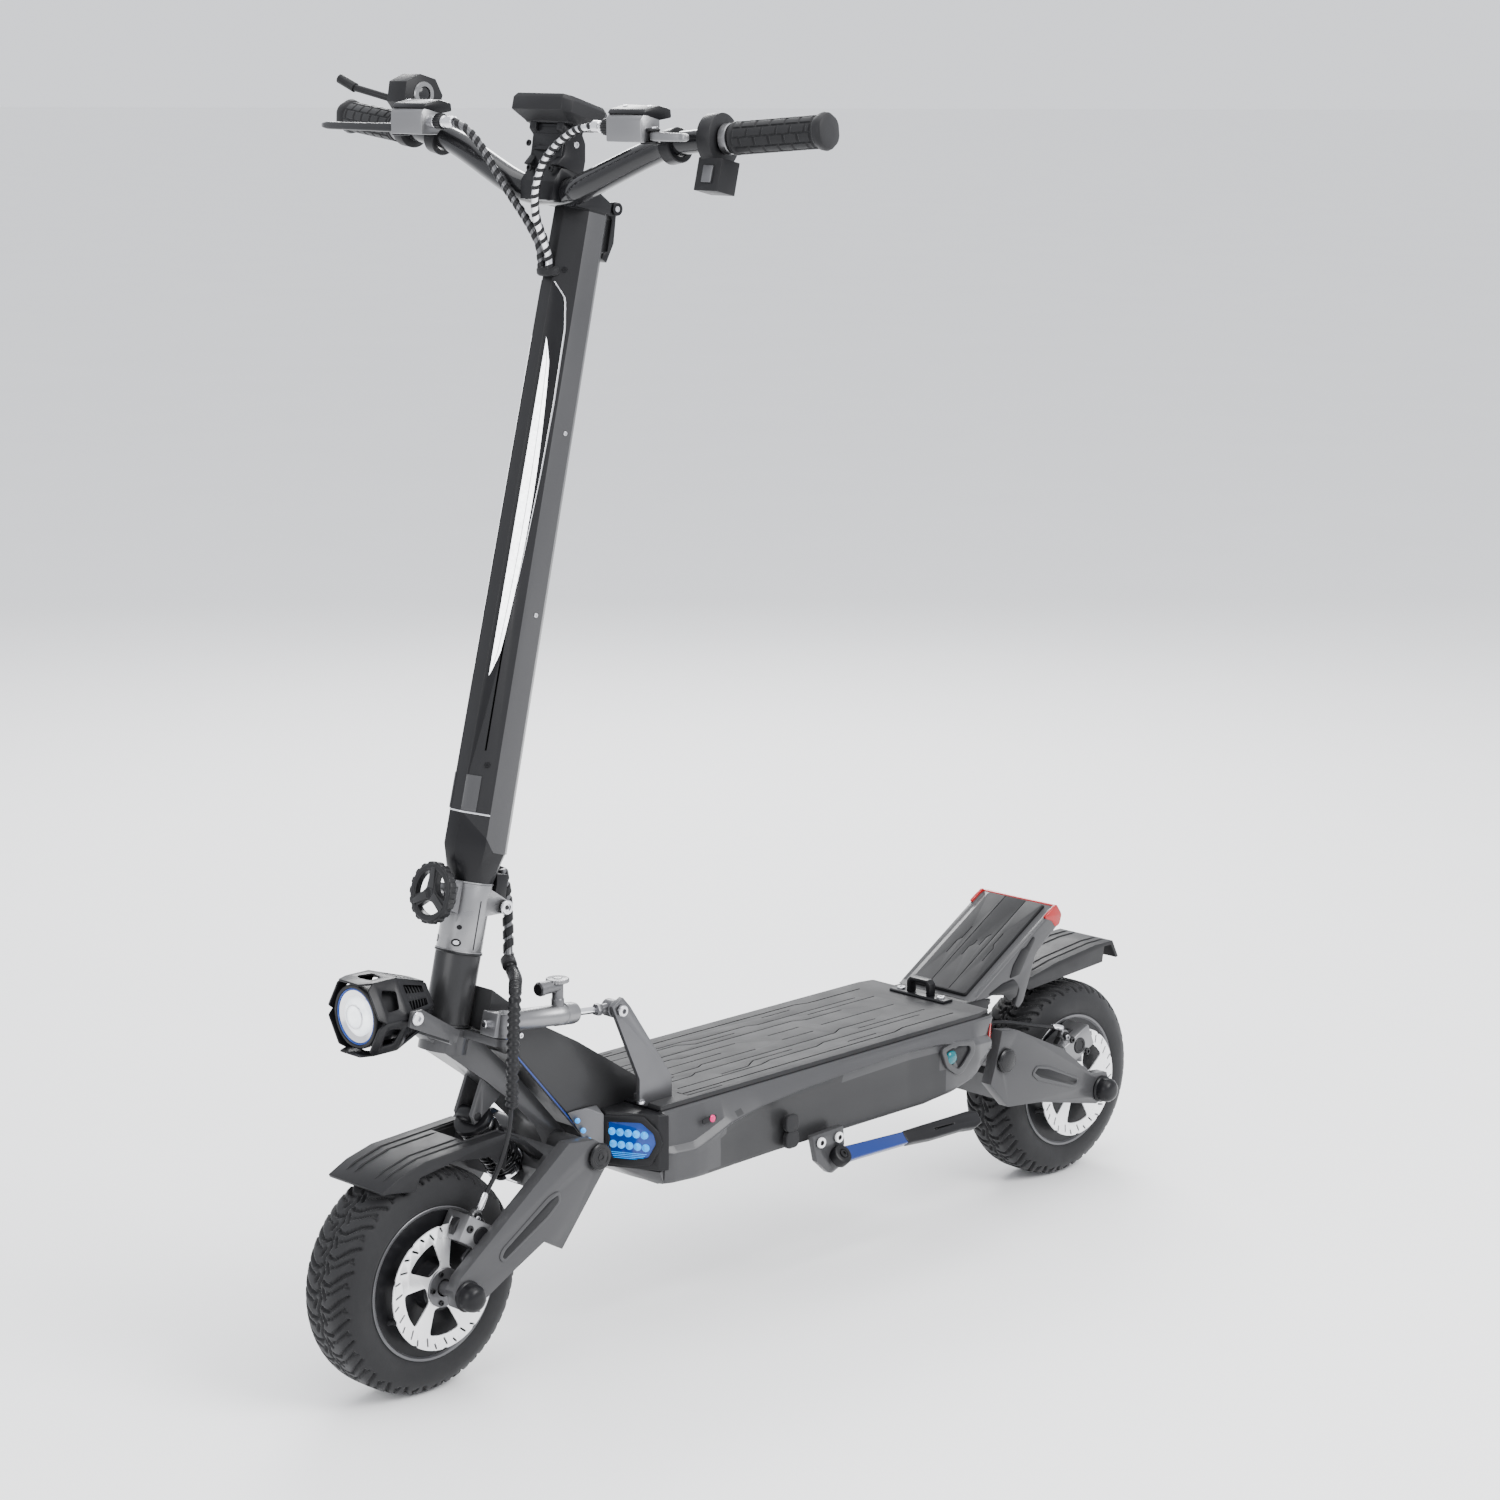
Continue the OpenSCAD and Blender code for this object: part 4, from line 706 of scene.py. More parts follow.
def make_covers():
    ys = list(np.linspace(-255.6, 305.6, 112))
    for s, tag in ((1, "left"), (-1, "right")):
        rows = [cover_rows(y) for y in ys]
        m = len(rows[0])
        v = [(s * x, y, z) for y, row in zip(ys, rows) for x, z in row]
        f = []
        for i in range(len(ys) - 1):
            for k in range(m):
                l = (k + 1) % m
                f.append((i * m + k, i * m + l, (i + 1) * m + l, (i + 1) * m + k))
        f += [tuple(range(m)), tuple((len(ys) - 1) * m + k for k in range(m - 1, -1, -1))]
        cover = add(f"side_cover_{tag}", v, f, [GREY, MID], "deck", 0.5, 2, 30, replaces=("side_covers",))
        for p in cover.data.polygons:
            c = p.center * 1000
            # the recessed wall under the arch takes the darker paint; its ends lean in as it rises
            rise = c.z - 195
            if (-198 + rise * 0.9 < c.y < 232 - rise * 0.8
                    and 104 < abs(c.x) < 114.5 and 190 < c.z < 252):
                p.material_index = 1
        # shadow line between cover and lid
        prism(f"cover_seam_{tag}", [(-255, 273.8), (305, 273.8), (305, 275.1), (-255, 275.1)],
              *sorted((s * 96.5, s * 101.2)),
              BLACK, "deck", 0.3)
        # moulded window with its bulb at the rear corner
        win = rounded([(203, 251), (222, 255), (250, 250), (252, 242), (236, 226), (228, 223), (214, 232)],
                      5, 4)
        ring = rounded([(198, 254), (222, 259), (256, 254), (258, 240), (238, 220), (227, 217), (208, 230)],
                       6, 4)
        P = Matrix(((0, 0, s, s * 0.1160), (1, 0, 0, 0), (0, 1, 0, 0), (0, 0, 0, 1)))
        plate(f"window_frame_{tag}", ring, [win], 5.0, GREY, "deck", P, 1.1, res=2)
        plate(f"window_floor_{tag}", win, [], 1.5, BLACK, "deck",
              Matrix(((0, 0, s, s * 0.1150), (1, 0, 0, 0), (0, 1, 0, 0), (0, 0, 0, 1))), 0.2)
        v, f = lathe_data([(-9, 0.5), (-8.6, 3.5), (-6.5, 7), (-3, 8.6), (3, 8.6), (6.5, 7), (8.6, 3.5),
                           (9, 0.5)], 28, "Y",
                          (0, 0, 0), False)
        add(f"side_bulb_{tag}", [(p.x * 0.55, p.y, p.z) for p in v], f, TEAL, "deck", 0, 1, 60,
            Matrix.Translation(Vector((s * 115.6, 216.5, 240.5)) * MM))
        # slot with a small round lamp near the nose
        slot = groove([(-203, 252.5), (-196, 253.5), (-188, 254.2), (-181, 253.6)], 6.4)
        plate(f"marker_slot_{tag}", rounded(slot, 2.5, 3), [], 1.2, BLACK, "deck",
              Matrix(((0, 0, s, s * 0.1139), (1, 0, 0, 0), (0, 1, 0, 0),
                      (0, 0, 0, 1))) @ Matrix.Rotation(0, 4, "Z"), 0.2)
        disc(f"marker_lamp_{tag}", (s * 114.2, -188, 253.8), (s, 0, 0.12),
             [(0, 4.2), (1.0, 4.2), (1.8, 3.2), (2.2, 0.4)],
             PINK, "deck", 24)
    # rubber port caps on the left
    for z, node in ((221, "port_cap_upper"), (201, "port_cap_lower")):
        pl = rounded([(-71, z - 8.6), (-53, z - 8.6), (-53, z + 8.6), (-71, z + 8.6)], 6, 5)
        plate(node + "_pad", pl, [], 6.5, RUBBER, node_body[node],
              Matrix(((0, 0, 1, 0.1165), (1, 0, 0, 0), (0, 1, 0, 0), (0, 0, 0, 1))), 1.6, replaces=(node,),
              res=3)


def make_nose():
    """Dark nose with lamp windows in its slanted faces."""
    skin("nose_bezel", PLASTIC, 1.6, 3)
    # lower chin from the nose to the underside, with its bright edge
    v = [(-52, -294, 212), (52, -294, 212), (108, -264, 206), (-108, -264, 206),
         (-60, -262, 190), (60, -262, 190), (106, -256.2, 189), (-106, -256.2, 189), (-106, -256.2, 207),
         (106, -256.2, 207)]
    f = [(0, 1, 5, 4), (1, 2, 6, 5), (3, 0, 4, 7), (0, 3, 8, 9, 2, 1), (4, 5, 6, 7), (2, 9, 6), (3, 7, 8),
         (6, 9, 8, 7)]
    add("nose_chin", v, f, GREY, "deck", 1.2, 2, 30)
    for s, tag in ((1, "left"), (-1, "right")):
        a, b = Vector((s * 52, -296, 0)), Vector((s * 108, -266, 0))
        d = (b - a).normalized()
        n = Vector((d.y * s, -d.x * s, 0)) if s > 0 else Vector((d.y * s, -d.x * s, 0))
        if n.y > 0:
            n = -n
        def on(u, z, out):
            p = a + d * u + n * out
            return Vector((p.x, p.y, z))
        M = Matrix(((d.x, 0, n.x, 0), (d.y, 0, n.y, 0), (0, 1, 0, 0), (0, 0, 0, 1)))
        base = Matrix.Translation((a + n * 0.6) * MM) @ M
        win = rounded([(4, 262), (44, 264), (59, 252), (62, 240), (52, 222), (30, 218), (8, 219)], 3, 3)
        frame_ring = rounded([(0, 268), (46, 270), (64, 254), (68, 240), (55, 216), (30, 212), (2, 213)], 3,
                             3)
        plate(f"nose_frame_{tag}", frame_ring, [win], 4.4, PLASTIC, "deck", base, 0.9, res=2)
        plate(f"lamp_glow_{tag}", win, [], 0.8, BLUE, "deck", base, 0.1)
        for r in range(2):
            for k in range(5):
                u = 9 + k * 9.6 + r * 1.5
                disc(f"lamp_cell_{tag}{r}{k}", on(u, 250.5 - r * 14.5 - k * 0.4, 1.2), n,
                     [(0, 4.6), (1.2, 4.4), (2.2, 2.8), (2.6, 0.3)], CYAN, "deck", 18)
        for k in range(5):
            q0, q1 = on(8 + k, 226.5 - k * 2.1, 1.2), on(50 - k * 2, 226.5 - k * 2.1, 1.2)
            vv, ff = tube_data([q0, q1], 0.45, 6)
            add(f"lamp_rib_{tag}{k}", vv, ff, CYAN, "deck", 0, 1, 60)
    # small raked fins of the nose beside the neck
    for s, tag in ((1, "left"), (-1, "right")):
        v = [(s * 44, -346, 280), (s * 44, -300, 214), (s * 53, -299, 214), (s * 54, -299, 270),
             (s * 46, -318, 280),
             (s * 43, -300, 279)]
        f = [(0, 1, 2, 3, 4), (0, 4, 5), (1, 0, 5), (2, 1, 5), (3, 2, 5), (4, 3, 5)]
        add(f"nose_fin_{tag}", v, f, GREYALLOY, "deck", 0.8, 2, 30)
        for k in range(4):
            t = k / 3
            disc(f"fin_lamp_{tag}{k}", Vector((s * 48.6, -334 + 26 * t, 269 - 40 * t)), (s, -0.45, 0.1),
                 [(0, 3.2), (1, 3.0), (1.8, 1.5), (2, 0.3)], CYAN, "deck", 16)


def make_neck():
    skin("neck", MID, 2.2, 3, limit=20)
    # shadow-line groove with a blue strip along each side of the beam
    for s, tag in ((1, "left"), (-1, "right")):
        x = s * 42.2
        for name, w, mat in (("neck_groove", 4.6, BLACK), ("neck_strip", 1.6, BLUEPAINT)):
            ring = groove([Vector((-452, 412)), Vector((-416, 358)), Vector((-318, 246))], w)
            P = Matrix(((0, 0, s, x * MM), (1, 0, 0, 0), (0, 1, 0, 0), (0, 0, 0, 1)))
            plate(f"{name}_{tag}", ring, [], 1.0 if mat is BLACK else 1.5, mat, "deck", P, 0.2)
        bolt(f"neck_screw_{tag}", (s * 42, -411, 382), (s, 0, 0), 3.2, 1.6, SCREW, "deck")
    # raised rings at both ends of the head tube
    for z, r in ((-1.2, 25.9), (-80.6, 26.3)):
        lathe(f"head_ring_{int(-z)}", [(z - 1.0, r - 1.5), (z - 1.0, r), (z, r + 0.7), (z + 1.0, r),
                                       (z + 1.0, r - 1.5)], DARK,
              "deck", axis="Z", n=72, place=IN_RAKE, closed=True)


make_mat()
make_covers()
make_nose()
make_neck()
paint("deck_tub", DARK)
paint("deck_lid", BLACK)
paint("power_pack" if "power_pack" in frame["nodes"] else "battery_pack", PLASTIC)
for extra in ("motor_controllers",):
    if extra in frame["nodes"]:
        paint(extra, SILVER)


def make_tail():
    """Kick tail: grey shell, grooved pad, dark side insets and the wrap-round lamp."""
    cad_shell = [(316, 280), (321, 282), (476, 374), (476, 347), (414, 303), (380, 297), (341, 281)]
    prism("tail_shell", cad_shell, -62, 62, GREY, "deck", 1.6, 3, replaces=("kick_tail",))
    prism("tail_foot", [(306.3, 263), (306.3, 280), (341, 280), (355, 271), (341, 263)], -60, 60, PLASTIC,
          "deck", 1.2, 2)
    d = Vector((0, 476 - 321, 374 - 282)).normalized()
    n = Vector((0, -d.z, d.y))
    P = Matrix(((1, 0, 0, 0), (0, d.y, n.y, 0.321), (0, d.z, n.z, 0.282), (0, 0, 0, 1)))
    L = sqrt(155 ** 2 + 92 ** 2)
    pad = [(-45, 2), (45, 2), (45, L - 6), (-45, L - 6)]
    grooves = [[(-17, 4), (-17, L - 6)], [(17, 4), (17, L - 6)],
               [(-30, 60), (-30, 84), (-26, 90), (-26, 112)], [(30, 60), (30, 84), (26, 90), (26, 112)],
               [(-6, 62), (-6, 78), (-2, 84), (-2, 92)], [(7, 84), (7, 100), (11, 106)]]
    plate("tail_pad", rounded(pad, 3, 3), [groove(g, 2.0) for g in grooves], 3.0, MATRUB, "deck",
          Matrix.Translation(n * 2.6 * MM) @ P, 0.4)
    plate("tail_pad_base", rounded([(-46, 1), (46, 1), (46, L - 5), (-46, L - 5)], 3, 3), [], 2.2, BLACK,
          "deck",
          Matrix.Translation(n * 1.0 * MM) @ P, 0.3)
    for s, tag in ((1, "left"), (-1, "right")):
        Q = Matrix(((0, 0, s, s * 0.0622), (1, 0, 0, 0), (0, 1, 0, 0), (0, 0, 0, 1)))
        # side wing that drops beside the hinge, and its dark insets
        wing = rounded([(322, 281), (472, 371), (474, 350), (452, 334), (434, 318), (412, 262), (404, 256),
                        (399, 259), (407, 279),
                        (398, 292), (372, 290), (350, 281)], 4, 3)
        plate(f"tail_wing_{tag}", wing, [], 8.0, GREY, "deck", Matrix.Translation((-s * 0.0035, 0, 0)) @ Q,
              1.4, res=2)
        inset = rounded([(386, 297), (392, 312), (408, 330), (416, 331), (430, 343), (433, 339), (420, 322),
                         (404, 299)], 2.5, 3)
        plate(f"tail_inset_{tag}", inset, [], 1.6, BLACK, "deck",
              Matrix.Translation((s * 0.0007, 0, 0)) @ Q, 0.4)
        low = rounded([(346, 283), (372, 292), (394, 294), (402, 284), (398, 272), (384, 268), (374, 278)],
                      3, 3)
        plate(f"tail_cavity_{tag}", low, [], 2.2, BLACK, "deck", Matrix.Translation((s * 0.0006, 0, 0)) @ Q,
              0.5)
        cap = rounded([(452, 363), (474, 376), (484, 362), (480, 350), (473, 348), (466, 357)], 3, 3)
        plate(f"tail_lamp_side_{tag}", cap, [], 4.0, RED, "deck",
              Matrix.Translation((-s * 0.0010, 0, 0)) @ Q, 0.9, res=2)
        # red lamps at the deck's rear corners
        vv = [(s * 88, 306, 238), (s * 100, 304, 240), (s * 103, 303, 262), (s * 99, 305, 272),
              (s * 88, 306, 271),
              (s * 88, 312, 236), (s * 97, 311.5, 238), (s * 100, 309, 262), (s * 96, 311, 271),
              (s * 88, 312, 270)]
        ff = [(0, 1, 2, 3, 4), (9, 8, 7, 6, 5), (0, 5, 6, 1), (1, 6, 7, 2), (2, 7, 8, 3), (3, 8, 9, 4),
              (4, 9, 5, 0)]
        add(f"corner_lamp_{tag}", vv, ff, RED, "deck", 1.0, 2, 30)
    prism("tail_lamp_bar", [(474, 374), (478, 375), (484, 362), (479, 349), (475, 349)], -60, 60, RED,
          "deck", 1.4, 3,
          replaces=("marker_lights",))


def make_latch():
    """Strap latch that the folded stem hooks under."""
    prism("latch_base", [(281, 280.2), (299, 280.2), (299, 282.5), (297, 284), (283, 284), (281, 282.5)],
          -45, 45, BLACK, "deck",
          0.6, 2, replaces=("latch_loop",))
    pts = [(-19, 284), (-19, 299), (-14, 304), (14, 304), (19, 299), (19, 284), (13, 284), (13, 297),
           (11, 299), (-11, 299),
           (-13, 297), (-13, 284)]
    v = [(x, 284.4, z) for x, z in pts] + [(x, 295.6, z) for x, z in pts]
    n = len(pts)
    f = [tuple(range(n)), tuple(range(2 * n - 1, n - 1, -1))] + [(i, (i + 1) % n, (i + 1) % n + n,
                                                                  i + n) for i in range(n)]
    add("latch_arch", v, f, BLACK, "deck", 0.9, 2, 30)
    for s in (1, -1):
        bolt(f"latch_bolt_{'lr'[s < 0]}", (s * 33, 290, 284), (0, 0, 1), 5.2, 2.6, SCREW, "deck")


make_tail()
make_latch()
# ---- END-OF-DECK ----

# ---- painted and machined bodies kept close to their solids ------------------------

for node, mat, bev in (
        ("fork_arm", GREY, 2.0), ("front_swingarm", GREY, 2.2), ("rear_swingarm", GREY, 2.2),
                       ("fold_collar", ALLOY, 0.9),
        ("damper_bracket", GREYALLOY, 1.2), ("stand_bracket", GREY, 1.2), ("pivot_pins", BOLT, 0.8),
        ("rear_pivot_bolt", BOLT, 0.8), ("front_fender", FENDER, 1.0), ("rear_fender", FENDER, 1.0),
        ("bar_clamp", BLACK, 1.6), ("throttle_body", PLASTIC, 1.6), ("switch_pod", PLASTIC, 1.8),
        ("throttle_lever", PLASTIC, 1.0), ("switch_button", GREYALLOY, 0.5), ("fold_hook", BLACK, 1.0),
        ("front_shock_body", BLACK, 0.8), ("rear_shock_body", BLACK, 0.8), ("front_shock_rod", CHROME, 0.4),
        ("rear_shock_rod", CHROME, 0.4), ("front_caliper", SILVER, 1.2), ("rear_caliper", SILVER, 1.2),
        ("stem_boot", BLACK, 1.8)):
    skin(node, mat, bev)
for node, mat in (("front_motor_core", GREYALLOY), ("rear_motor_core", GREYALLOY)):
    paint(node, mat)


# ---- steering damper ---------------------------------------------------------------

DF = raked(66, 14.5, -66)
DD = (Vector((66, -298, 395.6)) - DF).normalized()


def on_damper(s, dx=0.0, dz=0.0):
    return DF + DD * s + Vector((dx, 0, dz))


def make_damper():
    along = [(-12.2, 4.3), (-12.2, 10.6), (-10.8, 12), (-3, 12.2), (-2.2, 11.5), (-0.6, 11.5), (0.2, 12.2),
             (8, 12.2), (9, 11.6),
             (80, 11.6), (81, 12.3), (90, 12.3), (91, 11.2), (93, 11.2), (94, 12.3), (106, 12.3),
             (110.5, 11.2), (112, 8.6),
             (112, 4.3)]
    disc("damper_tube", DF, DD, along, SILVER, "damper", 72, closed=True, replaces=("damper_body",))
    # clamp that holds the tube under the head tube
    pts = rounded([(-13.2, -13), (13.2, -13), (13.2, 13), (-13.2, 13)], 3, 4)
    plate("damper_clamp", pts, [circle(0, 0, 5.1, 32)], 26, GREYALLOY, "damper",
          IN_RAKE @ Matrix.Translation(Vector((66, 14.5, -82 + 13.5)) * MM), 1.0, res=2)
    bolt("damper_clamp_bolt", on_damper(4, 12.6), (1, 0, 0), 4.2, 2.6, SCREW, "damper")
    # adjuster, its knob and the rear reservoir boss
    top = on_damper(86, 0, 9)
    lathe("damper_adjuster", [(0, 0.5), (0, 6.6), (1, 7.2), (9, 7.2), (10, 6.4), (25, 6.4), (26, 7.6),
                              (28, 8.2), (28, 0.5)], GREYALLOY,
          "damper", (top.x, top.y, top.z), "Z", 40, 0.3)
    disc("damper_reservoir", (66, DF.y + 58, DF.z + 25), (0, 1, 0),
         [(0, 0.5), (0, 7.2), (0.8, 8), (5, 8), (5.6, 7.4), (27, 7.4), (28, 6.6),
         (28, 0.5)], GREYALLOY, "damper", 40)
    disc("damper_reservoir_cap", (66, DF.y + 57.6, DF.z + 25), (0, -1, 0),
         [(0, 0.5), (0, 7.0), (1.4, 6.6), (1.4, 0.5)], BLACK, "damper", 40)
    v, f = [], []
    N = 96
    prof = [(0, 3.0, 0), (0, 12.2, 1), (0.6, 13.0, 1), (3.6, 13.0, 1), (4.4, 12.2, 1), (4.6, 5.5, 0),
            (5.4, 4.8, 0), (5.4, 0.4, 0)]
    for z, r, kn in prof:
        for k in range(N):
            rr = r - (0.45 if kn and k % 4 < 2 else 0)
            a = 2 * pi * k / N
            v.append((top.x + rr * cos(a), top.y + rr * sin(a), top.z + 28 + z))
    for i in range(len(prof) - 1):
        for k in range(N):
            l = (k + 1) % N
            f.append((i * N + k, i * N + l, (i + 1) * N + l, (i + 1) * N + k))
    f += [tuple(range(N - 1, -1, -1)), tuple((len(prof) - 1) * N + k for k in range(N))]
    add("damper_knob", v, f, SILVER, "damper", 0.15, 1, 30)
    # spherical end on the rod
    s_end = (Vector((66, -298, 395.6)) - DF).length
    disc("damper_shaft_rod", on_damper(-21.5), DD, [(0, 0.4), (0, 3.4), (0.6, 4.0), (s_end + 12, 4.0),
                                                    (s_end + 13, 3.6), (s_end + 13, 0.4)],
         CHROME, "damper_shaft", 40, replaces=("damper_rod",))
    disc("damper_rod_nut", on_damper(s_end - 24), DD, [(0, 4.1), (0, 6.6), (1, 7.2), (6, 7.2), (7, 6.6),
                                                       (7, 4.1)], GREYALLOY,
         "damper_shaft", 6, closed=True)
    disc("damper_rod_neck", on_damper(s_end - 17), DD, [(0, 3.9), (0, 5.2), (9, 6.4), (10, 6.0), (10, 3.9)],
         GREYALLOY, "damper_shaft",
         32, closed=True)
    lathe("damper_eye", [(-7, 3.2), (-7, 9.2), (-6.2, 10), (6.2, 10), (7, 9.2), (7, 3.2)], GREYALLOY,
          "damper_shaft",
          (66, -298, 395.6), "X", 56, 0.3, closed=True)
    lathe("damper_ball_joint", [(-8.4, 0.4), (-8.4, 5.2), (-7.6, 6), (-4, 6.2), (4, 6.2), (8.4, 6.2),
                                (8.4, 0.4)], BRIGHT,
          "damper_shaft", (66, -298, 395.6), "X", 40, 0.3)
    bolt("damper_ball_bolt", (83.2, -298, 395.6), (1, 0, 0), 6.6, 4.2, SCREW, "deck")
    bolt("bracket_foot_bolt_a", (80, -266, 281.5), (0, 0, 1), 4.6, 2.6, SCREW, "deck")


# ---- arm trims and calipers, front and rear ------------------------------------------

def make_arms():
    for P, A, body, tag in ((FP, FA, "front_arm", "front"), (RP, RA, "rear_arm", "rear")):
        d = (A - P)
        L = d.length
        u = d.normalized()
        n = Vector((0, -u.z, u.y))
        for s, side in ((1, "left"), (-1, "right")):
            x = s * 92.4
            M = Matrix(((0, 0, s, x * MM), (u.y, n.y, 0, P.y * MM), (u.z, n.z, 0, P.z * MM), (0, 0, 0, 1)))
            lo = L * 0.30
            hi = L * 0.74
            slot = [(lo, -5.2), (lo + 14, -8.4), (hi - 8, -6.4), (hi, -2.5), (hi - 2, 3.2), (lo + 26, 5.4),
                    (lo + 4, 2.6)]
            plate(f"{tag}_arm_inset_{side}", rounded(slot, 3, 4), [], 1.6, BLACK, body, M, 0.5)
            rim = [(q[0] + (2.6 if q[0] > L / 2 else -2.6), q[1] * 1.42) for q in slot]
            plate(f"{tag}_arm_rim_{side}", rounded(rim, 4, 4), [rounded(slot, 3, 4)], 2.2, GREY, body, M,
                  0.8, res=1)
            # pivot cap and its socket
            q = P + Vector((s * 92, 0, 0))
            disc(f"{tag}_pivot_cap_{side}", q, (s, 0, 0), [(0, 0.5), (0, 14.5), (2.0, 15.6), (4.2, 15.6),
                                                           (5.6, 14.0), (5.9, 10.0),
                 (4.4, 8.6), (4.4, 0.5)], BOLT, body, 56)
            disc(f"{tag}_pivot_socket_{side}", q + Vector((s * 4.3, 0, 0)), (s, 0, 0),
                 [(0, 0.5), (0, 5.6), (1.6, 5.2), (1.6, 3.1), (0.5, 3.0),
                 (0.5, 0.4)], BOLT, body, 6)


def make_calipers():
    for tag, body in (("front", "front_arm"), ("rear", "rear_arm")):
        node = f"{tag}_caliper"
        box = [Vector(c) for o in bpy.data.objects if o.type == "MESH" and o.name.startswith(node)
               for c in [o.matrix_world @ Vector(k) for k in o.bound_box]]
        if not box:
            continue
        lo = Vector([min(b[i] for b in box) for i in range(3)]) * 1000
        hi = Vector([max(b[i] for b in box) for i in range(3)]) * 1000
        c = (lo + hi) / 2
        for k, (dy, dz) in enumerate(((-0.26, 0.22), (0.26, -0.22))):
            bolt(f"{tag}_caliper_bolt{k}", (hi.x, c.y + dy * (hi.y - lo.y), c.z + dz * (hi.z - lo.z)),
                 (1, 0, 0), 4.4, 2.4, BOLT, body)
        disc(f"{tag}_caliper_piston", (hi.x, c.y, c.z), (1, 0, 0), [(-1, 0.5), (-1, 10.5), (0.8, 10.5),
                                                                    (1.4, 9.8), (1.4, 7.0), (0.6, 6.4),
             (0.6, 0.5)], BLACK, body, 40)


make_damper()
make_arms()
make_calipers()


# ---- stem ------------------------------------------------------------------------

def stem_k(z):
    return 1.2 - 0.2 * (z - 98) / 709


def on_stem(s, u, z, out):
    """Point on a front slanted face of the stem: u runs from the front edge to the side edge."""
    k = stem_k(z)
    a, b = Vector((7.54 * k, -32 * k)), Vector((26 * k, -12.48 * k))
    t = (b - a).normalized()
    p = a + (b - a) * u + Vector((t.y, -t.x)) * out
    return (s * p.x, p.y, z)


def face_strip(name, s, zs, u0, u1, o0, o1, mat, bevel=0.25, replaces=()):
    v = []
    for z in zs:
        v += [on_stem(s, u0(z), z, o0), on_stem(s, u1(z), z, o0), on_stem(s, u1(z), z, o1),
              on_stem(s, u0(z), z, o1)]
    f = []
    for i in range(len(zs) - 1):
        for k in range(4):
            l = (k + 1) % 4
            f.append((i * 4 + k, i * 4 + l, i * 4 + 4 + l, i * 4 + 4 + k))
    f += [(3, 2, 1, 0), tuple(len(zs) * 4 - 4 + k for k in range(4))]
    add(name, v, f, mat, "stem", bevel, 2, 30, IN_RAKE, replaces=replaces)


def make_stem():
    tube_ob = skin("stem_tube", DARK, 1.5, 2)
    # painted light: faces that point straight out sideways take the lighter grey and the slanted faces keep
    # the dark paint, standing in for the side flats catching more light than the slanted faces
    tube_ob.data.materials.append(GREY)
    for p in tube_ob.data.polygons:
        if abs(p.normal.x) > 0.97:
            p.material_index = 1

    def edge(z):
        return float(np.interp(z, [190, 260, 330, 430, 520, 600, 680, 712, 728],
                               [0.02, 0.26, 0.46, 0.66, 0.78, 0.82, 0.78, 0.6, 0.08]))

    def glass(z):
        t = (z - 300) / 368
        return 0.16 + 0.16 * min(1, t * 14, (1 - t) * 14) + 0.34 * max(0, sin(pi * t)) ** 0.8

    for s, tag in ((1, "left"), (-1, "right")):
        zs = list(np.linspace(190, 728, 110))
        face_strip(f"stem_panel_{tag}", s, zs, lambda z: 0.0, edge, -0.4, 0.7, BLACK, 0.2)
        face_strip(f"stem_trim_{tag}", s, [z for z in zs if z > 400], edge,
                   lambda z: edge(z) + 0.012 + 0.05 * min(1, (z - 400) / 200),
                   -0.4, 1.5, BRIGHT, 0.3)
        zw = list(np.linspace(300, 668, 90))
        face_strip(f"stem_light_{tag}", s, zw, lambda z: 0.16, glass, 0.3, 1.3, WHITE, 0.5,
                   replaces=("stem_light_panels",) if s > 0 else ())
        face_strip(f"stem_light_seam_{tag}", s, zw[3:-3], lambda z: 0.16 + (glass(z) - 0.16) * 0.6,
                   lambda z: 0.178 + (glass(z) - 0.16) * 0.6, 1.2, 1.5,
                   GREYALLOY, 0.05)
        face_strip(f"stem_low_panel_{tag}", s, [153, 158, 186, 192], lambda z: -0.02, lambda z: 0.5, -0.2,
                   1.5, GREY, 0.6)
        face_strip(f"stem_foot_line_{tag}", s, [150.6, 152.4], lambda z: -0.05, lambda z: 1.0, -0.3, 0.6,
                   BRIGHT, 0.2)
        for z, u, r in ((742, 0.42, 3.0), (205, 0.62, 3.0)):
            q = IN_RAKE @ (Vector(on_stem(s, u, z, -0.2)) * MM) * 1000
            n = IN_RAKE.to_3x3() @ Vector((s * 0.72, -0.69, 0))
            bolt(f"stem_screw_{tag}{z}", q, n, r, 1.8, BOLT, "stem")
        for z in (570, 372):
            q = IN_RAKE @ (Vector((s * 26 * stem_k(z), 4, z)) * MM) * 1000
            bolt(f"stem_side_screw_{tag}{z}", q, (s, 0, 0), 2.6, 1.4, SCREW, "stem")
    v = []
    for z in (150.6, 152.4):
        k = stem_k(z)
        v += [(-7.8 * k, -32 * k + 1, z), (7.8 * k, -32 * k + 1, z), (7.8 * k, -32 * k - 0.6, z),
              (-7.8 * k, -32 * k - 0.6, z)]
    add("stem_foot_line_front", v, [(3, 2, 1, 0), (4, 5, 6, 7), (0, 1, 5, 4), (1, 2, 6, 5), (2, 3, 7, 6),
                                    (3, 0, 4, 7)], BRIGHT,
        "stem", 0.2, 2, 30, IN_RAKE)
    # small round cap on the back of the stem
    lathe("stem_rear_cap", [(0, 0.5), (0, 4.5), (1.2, 4.0), (1.2, 0.5)], BOLT, "stem", (0, 0, 0), "Z", 24,
          0.2,
          place=IN_RAKE @ Matrix.Translation(Vector((0, 33.6,
                                                     640)) * MM) @ Matrix.Rotation(radians(-90), 4, "X"))


